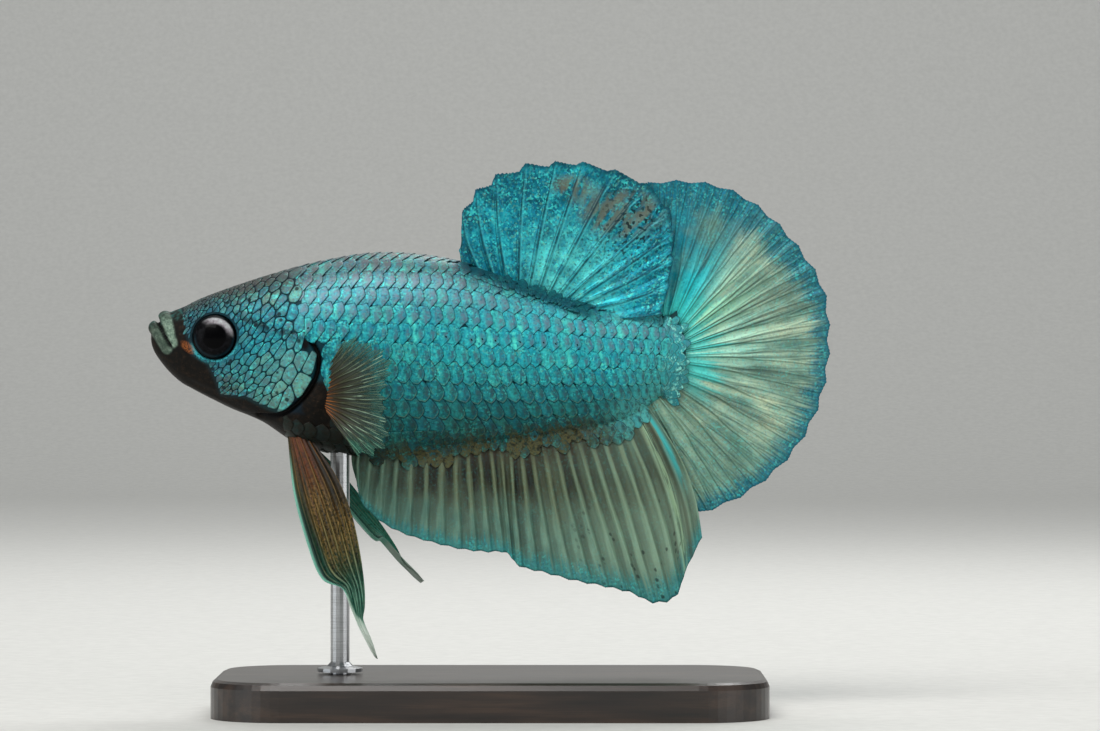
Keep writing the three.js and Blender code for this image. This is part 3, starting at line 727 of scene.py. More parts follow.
columns = [8.0]
while columns[-1] < run[-1] - 0.35:
    columns.append(columns[-1] + step_at(column_steps, columns[-1]))
columns = np.array(columns)
line_levels = step_at(lateral_line, middle_row[:, 0])
line_down = girth / steps_down * np.array([
    np.interp(-line_levels[i], -flank[i, :, 2], np.arange(steps_down + 1)) for i in range(station_count)
])
flank_places = []
for row in range(-9, 10):
    places = np.interp(np.arange(len(columns) - 1) + 0.5 * (row % 2), np.arange(len(columns)), columns)
    down = np.interp(places, run, line_down) + row * step_at(row_heights, places)
    spare = 0.33 * step_at(row_heights, places)
    fits = (down > spare) & (down < np.interp(places, run, girth) - 0.3 * spare)
    flank_places += [(a, d, row) for a, d in zip(places[fits], down[fits])]
flank_places = np.array(flank_places)
spots = on_flank(flank_places[:, 0], flank_places[:, 1], 0.0, -1)
behind_gill = line_distance(spots[:, 0], spots[:, 2], gill_edge)
behind_nape = spots[:, 0] - np.interp(spots[:, 2], *zip(*nape_line))
kept = np.where(spots[:, 2] > 0.8, behind_nape > -0.8, behind_gill > 0.8) & (spots[:, 0] > 11.3)
kept &= np.hypot((spots[:, 0] - 14.3) / 1.5, (spots[:, 2] + 4.9) / 2.0) > 1
kept &= spots[:, 0] < tail_start + 0.25
flank_places, tucked = flank_places[kept], (behind_nape < 0)[kept] & (spots[kept, 2] > 0.8)
widths = step_at(column_steps, flank_places[:, 0]) * rng.uniform(0.96, 1.04, len(flank_places))
level = flank_places[:, 1] / np.interp(flank_places[:, 0], run, girth)
outlines = leaf_outlines(widths, row_reach * step_at(row_heights, flank_places[:, 0]),
                         1.15 + 0.5 * rise(level, 0.3, 0.55), 0.4 - 0.62 * rise(level, 0.42, 0.7))
outlines *= rng.uniform(0.95, 1.05, (len(outlines), 1, 2))
fronts = np.clip((behind_gill[kept] - 0.45) / (0.95 * widths), 0.3, 1)
fronts = np.where(spots[kept, 2] < 0.7, fronts, 1)[:, None]
outlines[..., 0] *= np.where(outlines[..., 0] < 0, fronts, 1)
flank_places[:, :2] += rng.normal(0, 0.05, (len(flank_places), 2))
pored = (flank_places[:, 2] == 0) & (rng.uniform(size=len(flank_places)) < 0.42)
flank_tones = rng.uniform(size=len(flank_places))
flank_heights = np.stack([0.02 - coat_depth - 0.06 * tucked, np.full(len(widths), scale_slope)], -1)

scale_finish, place = start_finish("flank scales")
fore, tall, inner_share = place.mark("fore"), place.mark("tall"), place.mark("inner")
tone, down = place.mark("tone"), place.mark("down")
px, pz = place.part("X"), place.part("Z")
ripple = place.noise(3.2, 3.0)
body = body_markings(place, down + (tone - 0.5) * 0.06)
growth = place.noise(1.6, 2.0, (4.0, 4.0, 1.0))
broad = down.fall(0.25, 0.42)
ahead = px.fall(24.0, 31.0)
# dull dims the bright flecks and the painted highlights on the upper front flank, where the key light
# already falls.
dull = 1 - 0.65 * broad * ahead
body = body.coats([
    (76, 196, 172, (tone * 7.3 % 1.0).rise(0.6, 1.0) * (0.4 - 0.3 * down.rise(0.5, 0.7))),
    (16, 112, 140, (tone * 3.7 % 1.0).rise(0.6, 1.0) * 0.35),
    (70, 226, 226, growth.rise(0.54, 0.68) * (1 - down.rise(0.45, 0.75) * 0.85) * dull * 0.5),
    (2, 74, 88, growth.fall(0.34, 0.46) * 0.45),
])
colour, grain = shimmer(place, body, 0.9 - 0.55 * down.rise(0.6, 0.8))
oval = (fore - 0.55).bell(0.0, 0.3) * tall.bell(-0.05, 0.55)
mauve = down.colour([
    (0.0, 98, 96, 96), (0.15, 112, 126, 140), (0.35, 88, 120, 138), (0.55, 58, 98, 110),
    (0.8, 44, 66, 68),
])
weak = 1 - px.rise(25.0, 30.0) * down.fall(0.1, 0.2) * 0.8
colour = colour.mix(mauve, (oval + 0.45 * broad * fore.rise(-0.4, 0.2)).rise(0.15, 0.9) * weak
                    * (0.2 + 0.65 * ripple.rise(0.36, 0.6)))
# Painted highlights: a brighter patch on the front of each scale, partly its own cyan, and bright glints
# on some scales (flash).
lit = fore.bell(0.0, 0.35) * tall.bell(0.35, 0.5) + fore.bell(-0.1, 0.3) * tall.bell(-0.6, 0.4) * 0.6
flash = (tone * 13.7 % 1.0).rise(0.8, 0.95)
rear_side = fore.rise(-0.3, 0.1)
stem = px.rise(42.2, 44.0)
streaked = place.noise(3.2, 3.0).rise(0.5, 0.62) * (tone * 9.1 % 1.0).rise(0.1, 0.8)
# Darker teal along the foot of the dorsal fin: partly the scales' own colour, partly painted shade under
# the fin.
dorsal_foot_teal_and_shade = (pz + 0.38 * px - 15.6).rise(0.15, 0.9) * px.rise(24.0, 27.0) * px.fall(36.5, 38.5)
# Dark rim lines: partly each scale's own dark edge, partly painted shade on the edges that face away from
# the light (lean).
rim = inner_share.fall(0.03, 0.13) * rear_side
lower = tall.rise(-0.4, 0.5)
lean = lower * down.fall(0.45, 0.7) + (1 - lower) * down.rise(0.45, 0.7)
# Painted highlight: a pale line just inside the rim, on the edges that face the light.
rim_highlight = inner_share.bell(0.13, 0.045) * rear_side * down.rise(0.35, 0.6)
colour = colour.coats([
    (60, 214, 216, lit * (1 - down.rise(0.5, 0.9) * 0.6) * ripple.rise(0.3, 0.6) * dull * 0.4),
    (96, 246, 222, lit * flash * down.fall(0.45, 0.6) * ripple.rise(0.35, 0.55) * dull * 0.85),
    (40, 138, 148, stem * (0.25 + 0.4 * (1 - tone).rise(0.3, 0.8))),
    (150, 242, 228, stem * streaked * 0.7),
    (8, 66, 80, dorsal_foot_teal_and_shade * 0.75),
    (132, 142, 104, rim_highlight * 0.32 * (1 - lean)),
    (2, 40, 56, rim * (0.25 + 0.65 * lean * (1 - stem) + 0.5 * stem)),
])
low_edge = pz - 0.14 * px
brown = low_edge.fall(-12.4, -10.6) * (ripple + (tone - 0.5) * 0.3).rise(0.4, 0.55)
golden = (46, 46, 32), (94, 90, 56)
earth = (ripple * 0.6 + tone * 0.25).colour([(0.34, *golden[0]), (0.5, *golden[1]), (0.6, *golden[0])])
colour = colour.mix(earth, brown * px.fall(35.5, 38.5) * 0.85)
breast = (px + 0.25 * pz).fall(14.0, 19.0) * (pz - 0.05 * px).fall(-5.4, -3.2)
speck = place.cells(2.6).fall(0.08, 0.2)
pore = (fore.bell(0.55, 0.12) * tall.bell(0.0, 0.1) * place.mark("pored")).rise(0.4, 0.6)
colour = colour.coats([
    (30, 27, 19, breast * (0.85 + 0.15 * ripple)),
    (14, 26, 26, speck * down.rise(0.6, 0.9) * 0.4),
    (4, 8, 12, pore),
])
close_finish(scale_finish, {
    "Base Color": colour, "Roughness": 0.36 + 0.16 * grain, "Metallic": 0.2 + 0.35 * grain,
    "Specular IOR Level": 0.2,
}, grain * 0.5 + ripple * 0.4, 0.3, 0.00004)

for side, name in ((-1, "left_flank_scales"), (1, "right_flank_scales")):
    scale_plates(name, flank_places[:, :2], outlines, flank_heights, scale_thickness, 0.018, side,
                 scale_finish, flank_tones, pored.astype(float), on_body)

back_x, belly_x = (np.interp(columns, run, flank[:, end, 0]) for end in (0, -1))
on_back = (back_x > 12.3) & ((back_x < dorsal_root[0]) | (back_x > dorsal_root[1])) & (back_x < 42.8)
on_belly = (belly_x > 12.6) & ((belly_x < anal_root[0]) | (belly_x > anal_root[1])) & (belly_x < 42.4)
ridge = np.array([(a, 0.0) for a in columns[on_back]]
                 + [(a, np.interp(a, run, girth)) for a in columns[on_belly]])
widths = step_at(column_steps, ridge[:, 0])
outlines = leaf_outlines(widths, 0.72 * step_at(row_heights, ridge[:, 0]), 1.7)
heights = np.tile((-coat_depth + 0.045, scale_slope), (len(ridge), 1))
scale_plates("ridge_scales", ridge, outlines, heights, scale_thickness, 0.018, -1, scale_finish,
             rng.uniform(size=len(ridge)))

# Towards the tail fin the scales grow small and narrow, and run out over the rays' roots.
tail_places = []
for step in range(9):
    along = 0.1 + 0.34 * step
    spread = girth[tail_row] * (1 + along / 5.0)
    count = int(spread / (0.82 - 0.03 * step))
    for k in range(count):
        down = (k + 0.5 * (step % 2) + 0.25) / count
        reach = 2.1 - 6.5 * (down - 0.53) ** 2 + rng.uniform(-0.7, 0.3)
        if along < reach and 0.08 < down < 0.93:
            tail_places.append((along, down * girth[tail_row], spread / count / (1 + along / 5.0), step))
tail_places = np.array(tail_places)
steps_back, pitches = tail_places[:, 3], tail_places[:, 2]
outlines = leaf_outlines(0.66 + 0.05 * steps_back, (0.66 - 0.02 * steps_back) * pitches, 1.5)
outlines[..., 0] *= rng.uniform(0.85, 1.2, (len(outlines), 1))
heights = np.tile((-coat_depth, 0.075), (len(tail_places), 1))
for side, name in ((-1, "left_tail_scales"), (1, "right_tail_scales")):
    scale_plates(name, tail_places[:, :2], outlines, heights, 0.03, 0.012, side, scale_finish,
                 rng.uniform(size=len(tail_places)), None, on_tail)

# ---------------------------------------------------------------------------------------
# Face and nape scales. Uneven close-fitting plates of bone under thin skin, smallest round
# the eye and largest on the rear of the gill covers, with dark skin showing between them.
plate_gap = 0.019
eye_rim = 2.05
dart_count = 40000
neighbours = 24


def chart_place(x, z):
    gap = (flank[..., 0] - x) ** 2 + (flank[..., 2] - z) ** 2
    i, j = np.unravel_index(np.argmin(gap), gap.shape)
    return run[i], girth[i] * j / steps_down


def chart_path(path):
    return np.array([chart_place(x, z) for x, z in path])


eye_ring = [(eye_x + eye_rim * math.cos(a), eye_z + eye_rim * math.sin(a))
            for a in np.linspace(0, 2 * math.pi, 41)]
eye_chart, gill_chart, cheek_chart = (chart_path(p) for p in (eye_ring, gill_edge, cheek_edge))


def plate_size(x, z):
    size = 0.4 + 0.042 * np.clip(x - 3.5, 0, 9) + 0.2 * rise(x, 10.5, 12.8) * rise(z, 0.5, 2.5)
    cover = rise(x, 9.8, 12.2) * (1 - rise(z, -1.2, 0.4))
    return np.clip(size + 0.4 * cover - 0.12 * rise(z, 2.6, 4.2) * (1 - rise(x, 6, 9)), 0.32, 1.4)


def metric_at(x, z):
    """How much two places' distance counts each way: less along the way plates are drawn out."""
    lean = np.radians(42 + 30 * rise(x, 9.5, 12.5) + 28 * rise(z, 0.4, 1.8))
    drawn = 1.25 + 0.3 * rise(x, 6.5, 9.0)
    way = np.stack([np.cos(lean), -np.sin(lean)], -1)
    return np.eye(2) - (1 - 1 / drawn**2)[..., None, None] * way[..., :, None] * way[..., None, :]


def nearest_on(path, spot):
    a, b = path[:-1], path[1:]
    ab = b - a
    t = np.clip(((spot - a) * ab).sum(1) / np.maximum((ab * ab).sum(1), 1e-9), 0, 1)
    close = a + ab * t[:, None]
    return close[np.argmin(np.linalg.norm(close - spot, axis=1))]


def takes_plates(x, z):
    """1 where face plates grow, 0 where they only fade out, -1 in the eye, gills and throat."""
    ahead = np.where(z > 0.8, x < np.interp(z, *zip(*nape_line)), line_distance(x, z, gill_edge) < -0.08)
    above = (line_distance(x, z, cheek_edge) > 0.08) | (z > 1.2)
    clear = np.hypot(x - eye_x, z - eye_z) > eye_rim + 0.05
    grown = ahead & above & clear & (x + 0.5 * z > 3.8)
    faded = clear & above & ((z > 0.8) | ahead)
    return np.where(grown, 1, np.where(faded, 0, -1))


darts = rng.uniform((0.5, -0.4), (15.5, 19.0), (dart_count, 2))
darts = darts[darts[:, 1] < np.interp(darts[:, 0], run, girth)]
seen = on_flank(darts[:, 0], np.maximum(darts[:, 1], 0), 0.0, -1)
wanted = takes_plates(seen[:, 0], seen[:, 2]) >= 0
darts, sizes = darts[wanted], plate_size(seen[wanted, 0], seen[wanted, 2])
metrics = metric_at(seen[wanted, 0], seen[wanted, 2])
chosen, chosen_sizes = np.zeros((0, 2)), np.zeros(0)
for dart, size, metric in zip(darts, sizes, metrics):
    if abs(dart[1]) < 0.42 * size:
        dart = np.array([dart[0], 0.0])
    off = chosen - dart
    if np.all(np.einsum("ij,jk,ik->i", off, metric, off) > (0.42 * (chosen_sizes + size)) ** 2):
        chosen = np.vstack([chosen, dart])
        chosen_sizes = np.append(chosen_sizes, size)


def cell_round(spot, size, metric, others, other_metrics, gap):
    """The flat cell nearer to a spot than to the others, drawn in by the gap."""
    turn = np.linspace(0, 2 * math.pi, 12, endpoint=False)
    corners = 1.2 * size * np.stack([np.cos(turn), 1.1 * np.sin(turn)], -1)
    for other, other_metric in zip(others, other_metrics):
        way = (metric + other_metric) / 2 @ (other - spot)
        limit = (other - spot) @ way / 2 - gap * np.linalg.norm(way)
        kept = []
        for a, b in zip(corners, np.roll(corners, -1, axis=0)):
            da, db = a @ way - limit, b @ way - limit
            if da <= 0:
                kept.append(a)
            if (da < 0) != (db < 0):
                kept.append(a + (b - a) * da / (da - db))
        if len(kept) < 3:
            return None
        corners = np.array(kept)
    return corners


def soft_outline(corners):
    """A plate's outline with rounded corners, as even steps round it."""
    for cut in (0.16, 0.25):
        after = np.roll(corners, -1, axis=0)
        corners = np.stack([(1 - cut) * corners + cut * after, cut * corners + (1 - cut) * after], 1)
        corners = corners.reshape(-1, 2)
    loop = np.vstack([corners, corners[:1]])
    arc = np.append(0, np.cumsum(np.linalg.norm(np.diff(loop, axis=0), axis=1)))
    steps = np.linspace(0, arc[-1], rim_steps, endpoint=False)
    return np.stack([np.interp(steps, arc, loop[:, k]) for k in range(2)], -1)


seen = on_flank(chosen[:, 0], chosen[:, 1], 0.0, -1)
inside = takes_plates(seen[:, 0], seen[:, 2]) > 0
chosen_metrics = metric_at(seen[:, 0], seen[:, 2])
for turn in range(3):
    ghosts, ghost_metrics = [], []
    for spot, size, metric in zip(chosen[inside], chosen_sizes[inside], chosen_metrics[inside]):
        for path in (eye_chart, gill_chart, cheek_chart):
            close = nearest_on(path, spot)
            if np.linalg.norm(close - spot) < 1.1 * size:
                ghosts.append(2 * close - spot)
                ghost_metrics.append(metric)
    near_back = (chosen[:, 1] > 0) & (chosen[:, 1] < 2)
    crowd = np.vstack([chosen, chosen[near_back] * (1, -1), ghosts])
    flipped = chosen_metrics[near_back] * [[1, -1], [-1, 1]]
    crowd_metrics = np.concatenate([chosen_metrics, flipped, ghost_metrics])
    cells = []
    for index, spot in enumerate(chosen):
        if not inside[index]:
            cells.append(None)
            continue
        gaps = np.linalg.norm(crowd - spot, axis=1)
        order = np.argsort(gaps)[1:neighbours + 1]
        order = order[gaps[order] > 1e-3]
        cells.append(cell_round(spot, chosen_sizes[index], chosen_metrics[index], crowd[order],
                                crowd_metrics[order], plate_gap if turn == 2 else 0.0))
    if turn < 2:
        for index, corners in enumerate(cells):
            if corners is not None:
                step = 0.5 * soft_outline(corners).mean(axis=0)
                chosen[index] += step * (1, chosen[index, 1] > 0)
picked = [i for i, corners in enumerate(cells) if corners is not None and len(corners) > 2]
face_outlines = np.array([soft_outline(cells[i]) for i in picked])
if np.sum(face_outlines[0, :, 0] * np.roll(face_outlines[0, :, 1], -1)
          - face_outlines[0, :, 1] * np.roll(face_outlines[0, :, 0], -1)) < 0:
    face_outlines = face_outlines[:, ::-1]
middles = face_outlines.mean(axis=1)
face_centres = chosen[picked] + middles
face_outlines = face_outlines - middles[:, None]
broad = np.ptp(face_outlines[..., 0], axis=1)
face_heights = np.stack([-0.045 - 0.25 * 0.05 * broad, np.full(len(broad), 0.05)], -1)

face_finish, place = start_finish("face scales")
inner_share, tone, down = place.mark("inner"), place.mark("tone"), place.mark("down")
px, pz = place.part("X"), place.part("Z")
ripple = place.noise(2.0, 4.0)
body = body_markings(place, down + (tone - 0.5) * 0.1)
top = (down + (ripple - 0.5) * 0.16).fall(0.02, 0.16)
cover = (px - 0.3 * pz).rise(9.0, 12.5) * pz.fall(-1.5, 0.8)
body = body.coats([
    (112, 172, 152, (tone * 7.3 % 1.0).rise(0.55, 1.0) * (1 - top) * 0.5),
    (16, 108, 140, (tone * 3.7 % 1.0).rise(0.5, 1.0) * (1 - top) * 0.5),
    (112, 164, 150, cover * 0.6),
    (90, 226, 220, ripple.rise(0.55, 0.68) * (tone * 5.1 % 1.0) * (1 - top * 0.8) * 0.6),
])
colour, grain = shimmer(place, body, 0.7 - 0.4 * top)
colour = colour.mix(body.mix(paint(84, 84, 92), 0.6), ripple.fall(0.38, 0.48) * 0.6)
eye_gap = off_eye(place)
stripe = (pz + 0.3 * px - 4.5).bell(0.0, 0.42) * px.bell(10.2, 3.4)
blotch = place.noise(1.7, 2.0).rise(0.42, 0.52) * stripe
colour = colour.coats([
    (10, 88, 108, eye_gap.fall(2.2, 3.8) * 0.45),
    (74, 74, 70, top * (0.3 + 0.4 * ripple.rise(0.4, 0.6))),
    (2, 30, 46, inner_share.fall(0.02, 0.11) * (0.8 - 0.4 * top - 0.3 * cover)),
    (8, 12, 18, place.cells(0.9).fall(0.12, 0.2) * 0.85),
    (5, 16, 26, blotch * 0.9),
])
close_finish(face_finish, {
    "Base Color": colour, "Roughness": 0.38 + 0.16 * grain, "Metallic": 0.15 + 0.3 * grain,
    "Specular IOR Level": 0.2,
}, ripple * 0.7 + grain * 0.5, 0.3, 0.00006)
centred = face_centres[:, 1] < 0.02
face_tones = rng.uniform(size=len(face_centres))
for side, name in ((-1, "left_face_scales"), (1, "right_face_scales")):
    rows = ~centred | (side < 0)
    scale_plates(name, face_centres[rows], face_outlines[rows], face_heights[rows], 0.08, 0.022,
                 side, face_finish, face_tones[rows])

# ---------------------------------------------------------------------------------------
# Dorsal fin. A thin web stretched over jointed bony rays, which fork twice on their way
# to the rim. It is rooted in a sheath along the back and leans to the left at its rear.
dorsal_rays = 13
dorsal_front, dorsal_rear = (27.0, 6.3), (35.2, 3.5)
dorsal_rim = [
    (26.1, 8.3), (26.1, 11.2), (27.2, 13.1), (28.9, 14.4), (31.4, 15.3), (33.9, 15.45), (36.2, 15.4),
    (38.9, 14.75), (41.6, 13.6), (43.5, 11.5), (43.95, 9.4), (43.85, 7.3), (43.5, 5.0), (42.9, 2.6),
]


def between(first, second, share):
    return first + (second - first) * share


def on_path(path, share):
    """A place on the smooth line through a path's points, by its share of the way."""
    return through(path, share * (len(path) - 1))


def dorsal_place(u, v):
    tip = on_path(dorsal_rim, u)
    root_share = 1 - (1 - u) ** 1.7
    spot = []
    for k in (0, 1):
        root = between(dorsal_front[k], dorsal_rear[k], root_share) - 0.7 * k
        bulge = 0.5 * k * rise(u, 0.7, 1.0) + 0.5 * (1 - k) * (1 - rise(u, 0.0, 0.5))
        spot.append(between(root, tip[..., k], v) - bulge * np.sin(math.pi * v))
    return np.stack([spot[0], swing(spot[0]) - 1.5 * v * u - 0.15 * rise(u, 0.8, 1.0), spot[1]], -1)


def fork(u, v, rays, first_fork, second_fork):
    """How far a place lies from the nearest ray, in steps from ray to ray."""
    off = np.abs((u * rays + 0.5) % 1 - 0.5)
    off = np.abs(off - 0.25 * rise(v, *first_fork))
    return np.abs(off - 0.12 * rise(v, *second_fork))


def fin_sheet(name, place_at, rays, grid, web, ray, broad, ripple, notch, forks, finish, deep_front=0,
              grown=(0.02, 0.3), lowest=0.5):
    """A closed sheet: a thin web with raised rays on both sides and a scalloped rim."""
    columns, rows = grid
    u, v = np.meshgrid(np.linspace(0, 1, columns + 1), np.linspace(0, 1, rows + 1), indexing="ij")
    step = (u * rays) % 1
    valley = np.minimum(step / lowest, (1 - step) / (1 - lowest))
    notch = notch * (1 + deep_front * (1 - rise(u, 0, 0.5)))
    fringe = 0.15 * notch * (1 - np.cos(fork(u, 1.0, rays, *forks) * 16 * math.pi)) / 2
    out = v * (1 - (notch * valley**0.8 + fringe) * rise(v, 0.3, 1))
    middle = place_at(u, out)
    gap = np.linalg.norm(np.gradient(middle, axis=0), axis=2) * columns / rays
    normal = np.cross(np.gradient(middle, axis=0), np.gradient(middle, axis=1))
    normal /= np.maximum(np.linalg.norm(normal, axis=2, keepdims=True), 1e-9)
    if normal[..., 1].mean() > 0:
        normal = -normal
    off = fork(u, v, rays, *forks) * gap
    ridge = bell(off, 0, between(*broad, v)) * (0.3 + 0.7 * rise(v, *grown))
    edge = np.minimum(1, np.minimum(u, 1 - u) * columns / 3) * (1 - 0.6 * rise(v, 0.9, 1))
    half = (0.5 * web + 0.5 * between(*ray, v) * ridge) * (0.35 + 0.65 * edge)
    fold = ripple * np.sin(2 * math.pi * (u * rays + 0.25)) * rise(v, *grown) * (1 - 0.35 * v)
    fold += 0.4 * ripple * np.sin(2 * math.pi * (2 * u * rays)) * rise(v, 0.4, 0.8)
    near = middle + normal * (fold + half)[..., None]
    far = middle + normal * (fold - half)[..., None]
    count = u.size
    index = np.arange(count).reshape(u.shape)
    i0, i1, i2, i3 = index[:-1, :-1], index[1:, :-1], index[1:, 1:], index[:-1, 1:]
    quads = np.stack([i0, i1, i2, i3], -1).reshape(-1, 4)
    loop = np.concatenate([index[:, 0], index[-1, 1:], index[-2::-1, -1], index[0, -2:0:-1]])
    after = np.roll(loop, -1)
    walls = np.stack([after, loop, loop + count, after + count], -1)
    faces = np.concatenate([quads, quads[:, ::-1] + count, walls])
    points = np.concatenate([near.reshape(-1, 3), far.reshape(-1, 3)])
    first, second, third = (points[quads[:, k]] for k in range(3))
    facing = np.cross(third - first, normal.reshape(-1, 3)[quads[:, 0]])
    if np.sum((second - first) * facing) < 0:
        faces = faces[:, ::-1]
    chart = np.stack([0.01 + 0.48 * u, 0.01 + 0.97 * v], -1).reshape(-1, 2)
    chart = np.concatenate([chart, chart + (0.5, 0)])
    places = chart[faces]
    wall_rows = slice(len(quads) * 2, None)
    share = np.linspace(0.01, 0.98, len(loop) + 1)
    flip = np.array([[1, 0], [0, 0], [0, 1], [1, 1]])
    wall_chart = np.stack([
        np.stack([share[np.arange(len(loop)) + a], np.full(len(loop), 0.986 + 0.008 * b)], -1)
        for a, b in flip
    ], 1)
    places[wall_rows] = wall_chart if faces[-1, 0] == walls[-1, 0] else wall_chart[:, ::-1]
    marks = [("across", u * rays), ("out", v), ("gap", gap)]
    return add_piece(
        name, points, [faces], finish, [("OFBake", places.reshape(-1, 2))],
        [(label, np.tile(values.ravel(), 2)) for label, values in marks],
    )


def off_rays(place, forks):
    """In a finish, the distance in millimetres to the nearest ray."""
    out = place.mark("out")
    off = abs((place.mark("across") + 0.5) % 1.0 - 0.5)
    off = abs(off - 0.25 * out.rise(*forks[0]))
    return abs(off - 0.12 * out.rise(*forks[1])) * place.mark("gap")


def spotted(place, x, z, wide, tall):
    """A soft round patch on a finish, in side view."""
    return place.part("X").bell(x, wide) * place.part("Z").bell(z, tall)


def along_rays(place, scale, detail, across_scale, out_scale):
    """Noise drawn out along a fin's rays."""
    across, out = place.mark("across"), place.mark("out")
    spot = place.node("CombineXYZ", {}, {0: across * across_scale, 1: out * out_scale})
    return spot.noise(scale, detail)


dorsal_forks = ((0.72, 1.0), (0.9, 1.3))
dorsal_finish, place = start_finish("bright fin")
out, across = place.mark("out"), place.mark("across")
off = off_rays(place, dorsal_forks)
streak = along_rays(place, 1.0, 3.0, 3.0, 5.0)
patchy = place.noise(0.6, 3.0)
shade = patchy * 0.6 + streak * 0.4
colour = shade.colour([
    (0.34, 0, 80, 98), (0.45, 4, 116, 136), (0.56, 18, 154, 172), (0.68, 58, 202, 208),
])
high = out.rise(0.45, 0.95)
low_glow = out.fall(0.25, 0.7) * across.rise(3.2, 6.4) * (1 - high)
colour = colour.coats([
    (4, 92, 108, high * (0.7 - 0.55 * patchy.rise(0.45, 0.65))),
    (6, 84, 102, across.fall(0.3, 3.0) * 0.65),
    (104, 232, 224, low_glow * (0.35 + 0.65 * patchy.rise(0.38, 0.58)) * 0.8),
    (10, 190, 210, across.rise(7.5, 10.0) * streak.rise(0.42, 0.56) * (1 - out.rise(0.3, 0.75) * 0.75)
     * 0.75),
])
colour, grain = shimmer(place, colour, 0.9)
# Beside each ray a pale line on one side is painted highlight, and a dark line on the other side is
# painted shade.
ray_side = ((across + 0.5) % 1.0 - 0.5) * place.mark("gap")
ends = 1 - out.rise(0.82, 1.0) * 0.5
worn = (spotted(place, 39.5, 11.0, 4.3, 2.5) + 0.7 * spotted(place, 35.0, 13.4, 1.9, 1.2)).rise(0.3, 0.8)
specks = along_rays(place, 1.0, 0.0, 7.0, 34.0).fall(0.35, 0.4)
colour = colour.coats([
    (80, 206, 214, ray_side.bell(0.16, 0.08) * ends * (1 - high * 0.45)
     * (0.3 + 0.3 * across.rise(3.0, 5.0))),
    (104, 104, 86, worn * streak.rise(0.4, 0.56) * 0.8),
    (6, 26, 32, specks * spotted(place, 40.6, 9.6, 3.6, 4.4) * 0.9),
    (2, 48, 62, ray_side.bell(0.0, 0.09) * ends * (0.35 + 0.55 * streak.rise(0.4, 0.55))),
    (2, 62, 78, ray_side.bell(-0.22, 0.06) * ends * streak.rise(0.38, 0.5) * 0.7),
    (2, 66, 82, out.rise(0.95, 1.0) * 0.8),
])
close_finish(dorsal_finish, {
    "Base Color": colour, "Roughness": 0.38 + 0.16 * grain, "Metallic": 0.2 + 0.3 * grain,
    "Specular IOR Level": 0.2,
}, off.fall(0.05, 0.16) * 0.8 + grain * 0.3 + streak * 0.4, 0.4, 0.00008)
fin = fin_sheet("dorsal_web", dorsal_place, dorsal_rays, (330, 96), 0.1, (0.24, 0.08), (0.11, 0.06),
                0.09, 0.03, dorsal_forks, dorsal_finish, 2.8, lowest=0.8)
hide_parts("dorsal_fin")


def sheath(name, place_at, length, height, rows, row_step, size, edge):
    """Small scales which climb from the body over the foot of a fin, on both its sides."""
    up = 1 if edge == 0 else -1

    def on_fin(along, down, lift, side):
        along, down, lift = np.broadcast_arrays(along, down, lift)
        u = np.clip(along / length, 0, 1)
        spot = place_at(u, np.clip(down / height(u), 0, 1))
        x, z = spot[..., 0], spot[..., 2]
        shore = np.interp(x, np.maximum.accumulate(flank[:, edge, 0]), flank[:, edge, 2]) - up * 0.35
        out = np.clip((z - shore) * up / 1.5, 0, 1)
        foot = 0.16 + np.maximum(body_half(x, shore) - 0.16, 0) * (1 - out) ** 2
        spot[..., 1] += side * (np.where(out > 0, foot, body_half(x, z) - 0.05) + lift)
        return spot

    places = []
    for row in range(rows):
        for along in np.arange(0.3 + 0.5 * size * (row % 2), length - 0.3, size):
            down = 0.35 + row * row_step + rng.uniform(-0.12, 0.12)
            if row < rows - 1 or rng.uniform() < 0.6:
                places.append((along + rng.uniform(-0.1, 0.1), down))
    places = np.array(places)
    leaves = leaf_outlines(np.full(len(places), row_step * 1.15), np.full(len(places), 0.62 * size), 1.5)
    leaves = leaves[..., ::-1] * rng.uniform(0.85, 1.2, (len(leaves), 1, 2))
    levels = np.tile((-0.02, 0.04), (len(places), 1))
    for side, half in ((-1, "left"), (1, "right")):
        scale_plates(f"{half}_{name}", places, leaves, levels, 0.03, 0.01, side, scale_finish,
                     rng.uniform(size=len(places)), None, on_fin)


sheath("dorsal_sheath", dorsal_place, 9.6, lambda u: between(6.0, 9.5, u), 2, 0.3, 0.45, 0)

# ---------------------------------------------------------------------------------------
# Tail fin. Close-set rays spread from the tail stem through more than half a circle; the
# web between them is pleated, cream and grey-green inside and turquoise along the rim.
caudal_rays = 18
caudal_roots = [(40.9, -5.0), (43.2, -3.3), (44.3, -0.8), (43.9, 1.2), (42.6, 2.4)]
caudal_middle = (43.5, 0.3)


def caudal_place(u, v):
    angle = np.radians(between(-86.0, 98.0, u))
    reach = 13.5 + 1.2 * np.maximum(0, -np.sin(angle)) ** 6
    for fullness, middle, width in ((0.3, 1.2, 0.28), (0.3, 0.33, 0.2), (0.45, -0.75, 0.5)):
        reach = reach + fullness * bell(angle, middle, width)
    root = on_path(caudal_roots, u)
    inward = np.array([43.0, -0.6]) - root
    root = root + 0.75 * inward / np.linalg.norm(inward, axis=-1, keepdims=True)
    tip_x = caudal_middle[0] + reach * np.cos(angle)
    tip_z = caudal_middle[1] + reach * np.sin(angle)
    x = between(root[..., 0], tip_x, v)
    z = between(root[..., 1], tip_z, v)
    return np.stack([x, swing(x) + 0.7 * v * np.sin(5 * u + 0.6), z], -1)


